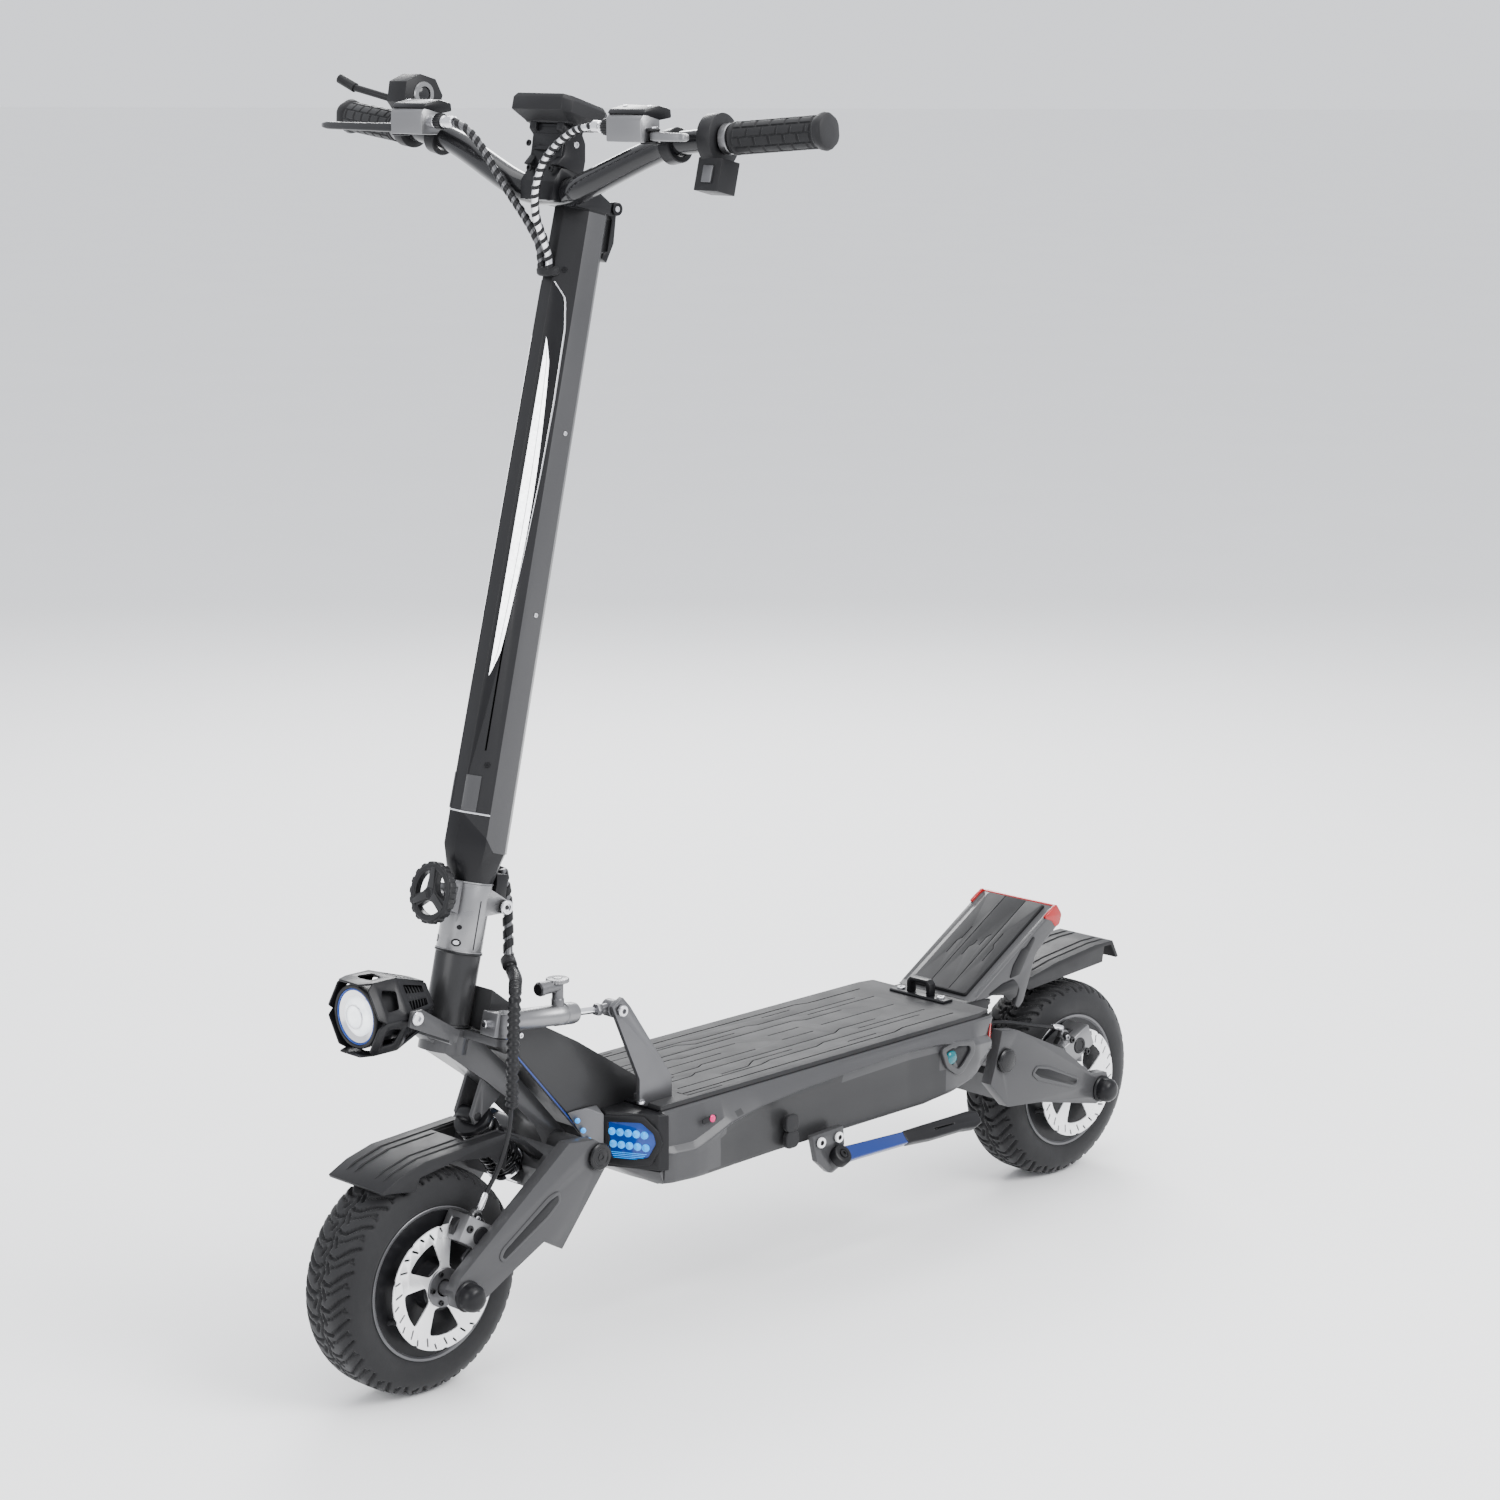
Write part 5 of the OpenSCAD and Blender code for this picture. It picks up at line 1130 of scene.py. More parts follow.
def on_ring(r, a0, a1, z0, z1, t, n=16):
    """Closed curved patch on a cylinder of the steering frame; degrees from the front, + to the left."""
    v = []
    for i in range(n + 1):
        a = radians(a0 + (a1 - a0) * i / n)
        for rr, z in ((r - 0.6, z0), (r + t, z0), (r + t, z1), (r - 0.6, z1)):
            v.append((rr * sin(a), -rr * cos(a), z))
    f = []
    for i in range(n):
        for k in range(4):
            l = (k + 1) % 4
            f.append((i * 4 + k, i * 4 + 4 + k, i * 4 + 4 + l, i * 4 + l))
    f += [(0, 1, 2, 3), tuple(n * 4 + k for k in (3, 2, 1, 0))]
    return v, f


def ring_patch(name, r, a0, a1, z0, z1, t, mat, body, bevel=0.3, n=16):
    v, f = on_ring(r, a0, a1, z0, z1, t, n)
    return add(name, v, f, mat, body, bevel, 2, 30, IN_RAKE)


def make_collar():
    for s, tag in ((1, "left"), (-1, "right")):
        ring_patch(f"collar_slot_{tag}", 25, s * 84, s * 87, 4, 58, 0.25, BLACK, "fork", 0.1, 4)
        q = IN_RAKE @ (Vector((s * 26, 34.5, 53.8)) * MM) * 1000
        disc(f"fold_pin_cap_{tag}", q, (s, 0, 0), [(-0.4, 0.5), (-0.4, 7.6), (0.8, 8.2), (2.2, 8.2),
                                                   (3.2, 7.2), (3.2, 4.4), (1.6, 4.0),
             (1.6, 0.4)], SCREW, "fork", 48)
        disc(f"fold_pin_core_{tag}", q + Vector((s * 1.4, 0, 0)), (s, 0, 0),
             [(0, 0.4), (0, 3.0), (1.0, 2.6), (1.0, 0.4)], BOLT,
             "fork", 6)
    for a, z, ra, rz, mat in ((38, 10, 5.6, 4.2, BLACK), (38, 10, 3.4, 2.4, BRIGHT),
                              (40, 27, 3.0, 2.6, BLACK), (-38, 10, 5.6, 4.2, BLACK)):
        y = []
        n = 28
        for rr in (24.7, 25.5 if mat is BLACK else 25.9):
            for k in range(n):
                t = 2 * pi * k / n
                aa = radians(a) + ra * cos(t) / 25
                y.append((rr * sin(aa), -rr * cos(aa), z + rz * sin(t)))
        f = [tuple(range(n)), tuple(range(2 * n - 1, n - 1, -1))] + [(k, n + k, n + (k + 1) % n,
                                                                      (k + 1) % n) for k in range(n)]
        add(f"collar_hole_{a + 60}_{z}_{int(ra)}", y, f, mat, "fork", 0.15, 1, 30, IN_RAKE)
    for z, r0 in ((0.8, 25.3), (76.0, 25.2)):
        lathe(f"collar_band_{int(z)}", [(z - 0.9, r0 - 1), (z - 0.9, r0 + 0.3), (z - 0.2, r0 + 0.9),
                                        (z + 0.5, r0 + 0.3), (z + 0.5, r0 - 1)],
              ALLOY, "fork", axis="Z", n=72, place=IN_RAKE, closed=True)
    # small catch between the knob and the collar
    v = [(x, y, z) for x in (7, 16) for y, z in ((-24, 41), (-36, 44), (-37, 50), (-30, 52), (-30, 70),
                                                 (-36, 72), (-35, 78), (-24, 77))]
    f = [tuple(range(7, -1, -1)), tuple(range(8, 16))] + [(k, (k + 1) % 8, (k + 1) % 8 + 8,
                                                           k + 8) for k in range(8)]
    add("collar_catch", v, f, GREYALLOY, "fork", 0.8, 2, 30, IN_RAKE)


def make_knob():
    P = IN_RAKE @ Matrix.Translation(Vector((0, -50.5, 60)) * MM) @ Matrix.Rotation(radians(90), 4, "X")
    outer = []
    for k in range(144):
        a = 2 * pi * k / 144
        r = 32.9 - (1.5 if (k // 4) % 2 else 0)
        outer.append((r * cos(a), r * sin(a)))
    holes = []
    for j in range(3):
        m = radians(30 + 120 * j)
        pts = []
        for i in range(15):
            a = m + radians(-46 + 92 * i / 14)
            pts.append((25 * cos(a), 25 * sin(a)))
        pts += [(11.5 * cos(m + radians(36)), 11.5 * sin(m + radians(36))), (7.5 * cos(m), 7.5 * sin(m)),
                (11.5 * cos(m - radians(36)), 11.5 * sin(m - radians(36)))]
        holes.append(rounded(pts, 2, 2))
    plate("knob_wheel", outer, holes, 8.6, DARK, "knob", P, 1.0, replaces=("clamp_knob",), res=2)
    lathe("knob_rim_bead", [(-5.2, 26.2), (-5.2, 30.4), (-4.0, 31.2), (4.0, 31.2), (5.2, 30.4), (5.2, 26.2),
                            (4.2, 25.4), (-4.2, 25.4)],
          DARK, "knob", axis="Z", n=96, bevel=0.5, place=P, closed=True)
    lathe("knob_boss", [(-4.4, 0.4), (-4.4, 8), (4.4, 9.5), (5.6, 8.2), (5.6, 4.5), (4.4, 3.8), (4.4, 0.4)],
          BOLT, "knob", axis="Z", n=6,
          bevel=0.5, place=P)
    for j in range(3):
        m = radians(90 + 120 * j)
        c, s_ = cos(m), sin(m)
        pts = [(c * 6 - s_ * 4.6, s_ * 6 + c * 4.6), (c * 27 - s_ * 2.4, s_ * 27 + c * 2.4),
               (c * 27 + s_ * 2.4, s_ * 27 - c * 2.4),
               (c * 6 + s_ * 4.6, s_ * 6 - c * 4.6)]
        plate(f"knob_spoke_{j}", pts, [], 2.4, MID, "knob", P @ Matrix.Translation((0, 0, 4.6 * MM)), 0.6,
              res=1)
    lathe("knob_screw", [(-27.8, 0.4), (-27.8, 4.2)] + [(-27 + 1.15 * i,
                                                         4.9 if i % 2 else 4.3) for i in range(20)] + [(-4, 4.9), (-4, 0.4)],
          ALLOY, "knob", axis="Z", n=36, place=P)


def make_headlight():
    C = Vector((0, -565, 434))
    P = Matrix.Translation(C * MM) @ Matrix.Rotation(radians(90), 4, "X")     # local +Z looks forward
    lathe("headlight_barrel", [(-44.6, 0.5), (-44.6, 15), (-41, 18), (-26, 27), (-12, 31.5), (32, 33),
                               (35, 35), (41, 35), (42.4, 34),
                               (42.4, 31), (38, 30.2), (38, 0.5)], PLASTIC, "lamp", axis="Z", n=96,
          bevel=0.3, place=P,
          replaces=("headlight",))
    lathe("headlight_glass", [(37.6, 0.4), (37.6, 21.6), (39.0, 21.4), (41.2, 18.5), (42.8, 13), (43.5, 7),
                              (43.8, 0.4)], LENS, "lamp",
          axis="Z", n=96, place=P, angle=60)
    lathe("headlight_halo", [(38, 28.9), (38, 31.0), (40.6, 31.2), (41.8, 30.2), (41.6, 29.0)], BLUE,
          "lamp", axis="Z", n=96, place=P,
          closed=True)
    lathe("headlight_dish", [(37.4, 21.4), (38.6, 21.8), (40.4, 28.4), (39.2, 28.8), (37.4, 28.8)], CHROME,
          "lamp", axis="Z", n=96,
          place=P, closed=True)
    lathe("headlight_projector", [(42.4, 12.4), (42.8, 13.6), (44.0, 13.4), (44.0, 12.0)], BRIGHT, "lamp",
          axis="Z", n=72, place=P,
          closed=True)
    for k in range(7):
        z = -40 + k * 5.2
        r = 20 + 12.5 * (k / 6) ** 0.7
        lathe(f"headlight_fin{k}", [(z, r - 4), (z, r + 3.4), (z + 0.5, r + 4), (z + 1.4, r + 4),
                                    (z + 1.9, r + 3.4), (z + 1.9, r - 4)],
              BLACK, "lamp", axis="Z", n=84, place=P, closed=True)
    # hexagonal cage: six pressed plates with windows, drawn in at the rear
    for k in range(6):
        a = radians(60 * k + 90)
        R0, R1 = 39.0, 25.0
        e = Vector((-sin(a), cos(a), 0))
        front = Vector((cos(a), sin(a), 0)) * R0
        hood = 50 if k in (0, 3) else 44
        # forward panel
        M1 = Matrix((( e.x, 0, cos(a), front.x * MM), (e.y, 0, sin(a), front.y * MM), (0, 1, 0, 0),
                     (0, 0, 0, 1)))
        w = 22.4
        outer = [(-w, 4), (w, 4), (w, 36), (w - 6, hood), (-w + 6, hood), (-w, 36)]
        win = rounded([(-11, 14), (9, 10), (14, 28), (4, 33), (-12, 30)], 3, 3)
        plate(f"headlight_cage{k}", rounded(outer, 1.5, 2), [win], 2.2, BLACK, "lamp", P @ M1, 0.5, res=1)
        # rearward panel, sloping in
        top = Vector((cos(a) * R0, sin(a) * R0, 5))
        low = Vector((cos(a) * R1, sin(a) * R1, -42))
        d = (top - low).normalized()
        n = e.cross(d).normalized()
        if n.dot(Vector((cos(a), sin(a), 0))) < 0:
            n = -n
        L = (top - low).length
        M2 = Matrix(((e.x, d.x, n.x, low.x * MM), (e.y, d.y, n.y, low.y * MM), (e.z, d.z, n.z, low.z * MM),
                     (0, 0, 0, 1)))
        outer = [(-13, 0), (13, 0), (w, L), (-w, L)]
        slots = [rounded([(-11, 8), (-3, 8), (-4, L - 8), (-15, L - 8)], 2, 3),
                 rounded([(3, 8), (11, 8), (15, L - 8), (4, L - 8)], 2, 3)]
        plate(f"headlight_tail{k}", rounded(outer, 1.5, 2), slots, 2.2, BLACK, "lamp", P @ M2, 0.5, res=1)
    for s, tag in ((1, "left"), (-1, "right")):
        bolt(f"headlight_bolt_{tag}", C + Vector((s * 51.3, 0, 0)), (s, 0, 0), 7.6, 3.2, SCREW, "lamp")
        disc(f"headlight_stud_{tag}", C + Vector((s * 38, 0, 0)), (s, 0, 0),
             [(0, 0.4), (0, 3.9), (13, 3.9), (13, 0.4)], BOLT, "lamp", 24)


make_stem()
make_collar()
make_knob()
make_headlight()


# ---- handlebar ---------------------------------------------------------------------

BAR = [(0, -46, 822), (62, -52, 830), (158, -54, 868), (210, -56, 878), (375, -33, 898)]
BP = [Vector(p) for p in BAR]
BT = (BP[4] - BP[3]).normalized()
MASTER = Vector((172, -358.5, 1361.2))


def world(p):
    return IN_RAKE @ (Vector(p) * MM) * 1000


def on_bar(s, t, off=(0, 0, 0)):
    """Point t mm out along the grip end of the bar, in the scooter's frame."""
    q = BP[3] + BT * t + Vector(off)
    return world((s * q.x, q.y, q.z))


def make_bar():
    pts = [Vector((-p.x, p.y, p.z)) for p in BP[:0:-1]] + BP
    pts[4:5] = [Vector((-30, -46, 822)), Vector((0, -46, 822)), Vector((30, -46, 822))]
    path = smooth_path(pts, 4)

    def r(i, s):
        x = abs(path[i].x)
        return float(np.interp(x, [0, 34, 70, 150, 200, 375], [15, 15, 14.6, 13.6, 12.2, 11.0]))
    v, f = tube_data(path, r, 40)
    add("bar_tube", v, f, GLOSS, "stem", 0, 1, 60, IN_RAKE, replaces=("handlebar",))


def make_grips():
    """Grips with rows of raised rounded bars and a flared six-sided end."""
    for s, tag in ((1, "left"), (-1, "right")):
        end = on_bar(s, (BP[4] - BP[3]).length)
        d = (on_bar(s, 100) - on_bar(s, 0)).normalized()
        M = aim(end - d * 112, d)
        N, R0 = 120, 15.6
        v, f = [], []
        zs = [0, 0, 0.8, 3, 4] + list(np.arange(5, 104, 1.3)) + [104, 107]
        prof = [11.2, 16.4, 17.2, 17.2, 16.2]
        for i, z in enumerate(zs):
            for k in range(N):
                a = 2 * pi * k / N
                if i < 5:
                    r = prof[i]
                else:
                    r = R0
                    col = int(k // 12) % 10
                    within = 1.0 <= (k % 12) <= 10.0
                    zz = (z - 6 + (col % 2) * 9) % 18
                    if within and 1.0 < zz < 16.4 and 5 < z < 101:
                        r = 17.0
                    if z > 103:
                        r = 16.4
                v.append((r * cos(a), r * sin(a), z))
        for i in range(len(zs) - 1):
            for k in range(N):
                l = (k + 1) % N
                f.append((i * N + k, i * N + l, (i + 1) * N + l, (i + 1) * N + k))
        f += [tuple(range(N - 1, -1, -1)), tuple((len(zs) - 1) * N + k for k in range(N))]
        add(f"grip_{tag}", v, f, RUBBER, "stem", 0, 1, 24, M, replaces=("grips",) if s > 0 else ())
        # flared cap
        w, g = [], []
        rings = [(103, 15.6), (105, 18.2), (111, 19.4), (115, 18.2), (116, 15.5), (116, 6)]
        for z, r in rings:
            for k in range(6):
                for h in range(4):
                    a = 2 * pi * (k + (h - 1.5) * 0.16) / 6 + pi / 6
                    w.append((r * (1 + 0.012 * (1 if h in (1, 2) else 0)) * cos(a),
                              r * (1 + 0.012 * (1 if h in (1, 2) else 0)) * sin(a), z))
        n = 24
        for i in range(len(rings) - 1):
            for k in range(n):
                l = (k + 1) % n
                g.append((i * n + k, i * n + l, (i + 1) * n + l, (i + 1) * n + k))
        g += [tuple(range(n - 1, -1, -1)), tuple((len(rings) - 1) * n + k for k in range(n))]
        add(f"grip_cap_{tag}", w, g, RUBBER, "stem", 0.7, 2, 30, M)


def make_display():
    """Faceted display head on a two-post bracket."""
    z0 = 890
    v, f = [], []
    low = [(-34, -70), (34, -70), (38, -60), (38, -36), (33, -30), (-33, -30), (-38, -36), (-38, -60)]
    mid = [(-39, -88), (39, -88), (45, -78), (45, -30), (38, -20), (-38, -20), (-45, -30), (-45, -78)]
    rings = [(0, low, 0.98), (1.5, low, 1.0), (9, mid, 1.0), (22, mid, 1.0), (27, mid, 0.92),
             (27, mid, 0.80), (25.6, mid, 0.78)]
    cy = -54
    for z, ring, k in rings:
        for x, y in ring:
            tilt = (y + 54) * -0.06
            v.append((x * k, cy + (y - cy) * k, z0 + z + tilt))
    n = 8
    for i in range(len(rings) - 1):
        for k in range(n):
            l = (k + 1) % n
            f.append((i * n + k, i * n + l, (i + 1) * n + l, (i + 1) * n + k))
    f += [tuple(range(n - 1, -1, -1)), tuple((len(rings) - 1) * n + k for k in range(n))]
    add("display_case", v, f, PLASTIC, "stem", 1.4, 3, 25, IN_RAKE, replaces=("display",))
    glass = [(x * 0.78, -54 + (y + 54) * 0.78) for x, y in mid]
    plate("display_glass", glass, [], 1.2, GLOSS, "stem",
          IN_RAKE @ Matrix.Translation(Vector((0, 0, z0 + 25.6)) * MM)
          @ Matrix.Rotation(radians(0), 4, "X"), 0.3)
    for s, tag in ((1, "left"), (-1, "right")):
        pts = [(-70, 846), (-62, 858), (-62, 878), (-70, 884), (-70, 893), (-40, 893), (-40, 884),
               (-34, 876), (-30, 858), (-30, 842)]
        prism(f"display_post_{tag}", pts, *sorted((s * 16, s * 27)), BLACK, "stem", 1.4, 2, place=IN_RAKE)
        bolt(f"display_bolt_{tag}", world((s * 21, -71, 868)), IN_RAKE.to_3x3() @ Vector((0, -1, 0)), 3.6,
             1.8, BOLT, "stem")
        bolt(f"display_side_bolt_{tag}", world((s * 27, -48, 872)), (s, 0, 0), 3.6, 1.8, SCREW, "stem")
    prism("display_bridge", [(-66, 880), (-42, 880), (-42, 888), (-66, 888)], -17, 17, BLACK, "stem", 1.0,
          2, place=IN_RAKE)
    prism("display_slot_bar", [(-69, 862), (-64, 862), (-64, 866), (-69, 866)], -17, 17, BLACK, "stem", 0.6,
          2, place=IN_RAKE)
    # bolts of the bar clamp
    for s in (1, -1):
        for z, k in ((842, "u"), (812, "l")):
            bolt(f"clamp_bolt_{'lr'[s < 0]}{k}", world((s * 17, -68 if z > 820 else -64, z)),
                 IN_RAKE.to_3x3() @ Vector((0, -1, 0)),
                 3.8, 2.2, BOLT, "stem")


def make_masters():
    """Brake bodies: pale front block, dark tapering cover, bright barrels with a knurled nut."""
    for s, tag in ((1, "left"), (-1, "right")):
        x0, x1 = 146, 198

        def box(name, xa, xb, pts, mat, bev=1.2, old=()):
            prism(f"{name}_{tag}", pts, *sorted((s * xa, s * xb)), mat, "stem", bev, 2, replaces=old)
        y, z = MASTER.y, MASTER.z
        box("brake_block", x0, x1, [(y - 14, z - 14), (y - 14, z + 9), (y - 10, z + 14), (y + 13, z + 14.6),
                                    (y + 13.6, z - 10),
                                    (y + 9, z - 14.6)], SILVER, 1.4, ("brake_masters",) if s > 0 else ())
        box("brake_cover", x0 - 1, x1 + 1, [(y - 12, z + 14.4), (y - 8, z + 19), (y + 12, z + 23),
                                            (y + 28, z + 19), (y + 29, z + 10),
                                            (y + 13, z + 8)], BLACK, 1.6)
        for k, xx in enumerate((x0 + 8, x1 - 8)):
            bolt(f"brake_cover_screw_{tag}{k}", (s * xx, y + 6, z + 21.4), (0, -0.2, 1), 2.6, 1.2, SCREW,
                 "stem")
        disc(f"brake_barrel_{tag}", (s * x0, y + 2, z), (-s, 0, 0),
             [(-1, 0.4), (-1, 7.4), (6, 7.4), (6.6, 6.6), (20, 6.6), (20.8, 5.4),
             (24, 5.4), (24.6, 6.4), (34.5, 6.2), (36, 5.0), (36, 0.4)], BRIGHT, "stem", 40)
        v, f = [], []
        N = 72
        for h, r, kn in ((8, 5.5, 0), (8, 8.3, 1), (9, 8.9, 1), (17, 8.9, 1), (18, 8.3, 1), (18, 5.5, 0)):
            for k in range(N):
                rr = r - (0.7 if kn and k % 4 < 2 else 0)
                a = 2 * pi * k / N
                v.append((rr * cos(a), rr * sin(a), h))
        for i in range(6):
            for k in range(N):
                l = (k + 1) % N
                f.append((i * N + k, i * N + l, ((i + 1) % 6) * N + l, ((i + 1) % 6) * N + k))
        add(f"brake_nut_{tag}", v, f, BLACK, "stem", 0.1, 1, 30, aim((s * x0, y + 2, z), (-s, 0, 0)))
        # ears and pin of the lever
        for zz in (5.3, -8.3):
            e = [(198 - 8, y - 6), (203, y - 6.2), (208.2, y - 3), (209, y + 1), (206, y + 5), (203, y + 6),
                 (190, y + 6)]
            plate(f"lever_ear_{tag}{int(zz)}", [(s * a, b) for a, b in e], [], 3.0, BLACK, "stem",
                  flat(z - 8 + zz + 1.5), 0.7)
        bolt(f"lever_pin_{tag}", (s * 203, y, z + 0.2), (0, 0, 1), 3.4, 1.6, SCREW, "stem")
    # clamp rings round the bar
    for s, tag in ((1, "left"), (-1, "right")):
        a, b = world((s * 158, -54, 868)), world((s * 210, -56, 878))
        d = (b - a).normalized()
        c = a + d * 28
        disc(f"brake_clamp_{tag}", c - d * 8, d, [(0, 12.8), (0, 17.6), (1.2, 18.6), (15, 18.6),
                                                  (16.2, 17.6), (16.2, 12.8)], BLACK, "stem",
             48, closed=True)
    for s, body, node, length, tag in ((1, "lever_left", "brake_lever_left", 50, "left"),
                                       (-1, "lever_right", "brake_lever_right", 132, "right")):
        y, z = MASTER.y, MASTER.z - 8
        n = 44
        v, f = [], []
        for i in range(n + 1):
            t = i / n
            x = 203 + length * t
            bow = -1.2 - 3.2 * sin(pi * min(1, t * 1.05)) + (2.5 * max(0,
                                                                       t - 0.85) / 0.15 if length > 100 else 0)
            w = float(np.interp(t, [0, 0.08, 0.3, 0.85, 0.95, 1], [4.6, 4.8, 4.0, 3.4, 4.2, 2.2]))
            h = float(np.interp(t, [0, 0.12, 0.3, 0.9, 1], [4.8, 4.8, 4.4, 4.2, 2.4]))
            for a, b in ((-1, -0.7), (-0.7, -1), (0.7, -1), (1, -0.7), (1, 0.7), (0.7, 1), (-0.7, 1),
                         (-1, 0.7)):
                v.append((s * x, y + bow + w * a, z + h * b))
        for i in range(n):
            for k in range(8):
                l = (k + 1) % 8
                f.append((i * 8 + k, i * 8 + l, i * 8 + 8 + l, i * 8 + 8 + k))
        f += [tuple(range(7, -1, -1)), tuple(n * 8 + k for k in range(8))]
        add(f"brake_blade_{tag}", v, f, SILVER if s > 0 else GLOSS, body, 0.5, 2, 40, replaces=(node,))
        disc(f"lever_hub_{tag}", (s * 203, y, z - 4.9), (0, 0, 1), [(0, 2.6), (0, 4.4), (0.6, 4.8),
                                                                    (9.2, 4.8), (9.8, 4.4), (9.8, 2.6)],
             BOLT, body, 36, closed=True)


make_bar()
make_grips()
make_display()
make_masters()


# ---- hoses ---------------------------------------------------------------------------

def wrap(name, ctrl, r, pitch, mat, body, place=None, width=0.5, proud=1.2):
    """Spiral guard wound round a hose: a flat band that follows the line."""
    path = smooth_path([Vector(p) for p in ctrl], 1.0)
    fr = frames(path)
    v, f = [], []
    for i, p in enumerate(path):
        a = 2 * pi * i / pitch
        u, w = fr[i]
        t = (path[min(i + 1, len(path) - 1)] - path[max(i - 1, 0)]).normalized()
        o = u * cos(a) + w * sin(a)
        h = pitch * width / 2
        v += [p + o * (r - 0.4) - t * h, p + o * (r + proud) - t * h * 0.8,
              p + o * (r + proud) + t * h * 0.8, p + o * (r - 0.4) + t * h]
    for i in range(len(path) - 1):
        for k in range(4):
            l = (k + 1) % 4
            f.append((i * 4 + k, i * 4 + l, i * 4 + 4 + l, i * 4 + 4 + k))
    f += [(3, 2, 1, 0), tuple(len(path) * 4 - 4 + k for k in range(4))]
    return add(name, v, f, mat, body, 0, 1, 50, place)


def ribbed(name, ctrl, r, pitch, depth, mat, body, place=None):
    path = smooth_path([Vector(p) for p in ctrl], pitch / 6)
    v, f = tube_data(path, lambda i, s: r - depth * (0.5 + 0.5 * cos(2 * pi * i / 6)), 20)
    return add(name, v, f, mat, body, 0, 1, 70, place)


TOP_HOSES = {
    "right": [(-108, -104, 881), (-92, -98, 874), (-74, -88, 856), (-56, -78, 832), (-38, -68, 810),
              (-20, -58, 788), (-9, -46, 766),
              (-7, -40, 750), (-6, -37.4, 738)],
    "left": [(108, -104, 881), (84, -104, 876), (56, -100, 862), (32, -94, 842), (16, -84, 816),
             (8, -70, 790), (6, -50, 766),
             (6, -41, 752), (6, -37.4, 738)]}


def make_hoses():
    for k, (tag, pts) in enumerate(TOP_HOSES.items()):
        v, f = tube_data(smooth_path([Vector(p) for p in pts], 2.0), 4.0, 16)
        add(f"bar_hose_{tag}", v, f, BRIGHT if tag == "left" else GREYALLOY, "stem", 0, 1, 70, IN_RAKE,
            replaces=("stem_harness",) if k == 0 else ())
        band = wrap(f"bar_hose_wrap_{tag}", pts, 4.0, 8.0, HOSE, "stem", IN_RAKE,
                    0.78 if tag == "right" else 0.62, 0.9)
        line = [IN_RAKE @ (q * MM) for q in smooth_path([Vector(p) for p in pts], 2.0)]
    lathe("hose_entry", [(-4, 6), (-4, 9.5), (-2, 11), (3, 11), (5, 9), (5, 6)], RUBBER, "stem", axis="Z",
          n=40, bevel=0.4,
          place=IN_RAKE @ Matrix.Translation(Vector((0, -33.4,
                                                     738)) * MM) @ Matrix.Rotation(radians(20), 4, "X")
          @ Matrix.Scale(1.25, 4, (1, 0, 0)), closed=True)
    # wrapped hose behind the collar, then the ribbed one down past the damper
    upper = [(0, -398, 560), (2, -394, 530), (5, -395, 500), (10, -399, 474), (16, -404, 458)]
    tube("loom_core", upper, 4.6, GREYALLOY, "fork", 2.0, 16)
    wrap("loom_wrap", upper, 4.6, 12, HOSE, "fork", None, 0.86, 1.6)
    lower = [(16, -404, 458), (30, -410, 450), (54, -428, 451), (76, -448, 452), (90, -461, 443),
             (95, -467, 424), (94, -468, 390),
             (92, -468, 352), (88, -466, 322)]
    ribbed("loom_ribbed", lower, 7.4, 5.2, 1.9, HOSE, "fork")
    disc("loom_joint", (16, -404, 458), (14, -8, -6), [(-7, 0.5), (-7, 7.4), (-5.5, 8.4), (6, 8.4),
                                                       (7.5, 7.4), (7.5, 0.5)], RUBBER,
         "fork", 32, 0.3)
    # thin brake hose down to the front caliper
    pts = [(88, -466, 330), (86, -466, 308), (82, -468, 284), (74, -474, 252), (67, -482, 230),
           (62, -490, 212)]
    path = smooth_path([Vector(p) for p in pts], 2.0)
    v, f = tube_data(path, 2.6, 14)
    h = add("front_brake_hose", v, f, HOSE, None, 0, 1, 70)
    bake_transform(h)
    disc("front_hose_ferrule", (62, -490, 210), (5, 8, 24), [(-3, 0.4), (-3, 3.6), (0, 4.2), (12, 4.0),
                                                             (16, 3.2), (17, 2.7), (17, 0.4)],
         BRIGHT, "front_arm", 28)
    pts = [(56, 353, 244), (58, 382, 240), (60, 420, 230), (61, 456, 220), (60, 490, 211)]
    v, f = tube_data(smooth_path([Vector(p) for p in pts], 2.0), 2.6, 14)
    h = add("rear_brake_hose", v, f, HOSE, None, 0, 1, 70)
    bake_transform(h)
    disc("rear_hose_ferrule", (60, 490, 211), (0, -20, 7), [(-3, 0.4), (-3, 3.6), (0, 4.2), (12, 4.0),
                                                            (16, 3.2), (17, 2.7), (17, 0.4)],
         BRIGHT, "rear_arm", 28)


make_hoses()


# ---- springs, fender ribs, calipers, stand and small parts ------------------------------

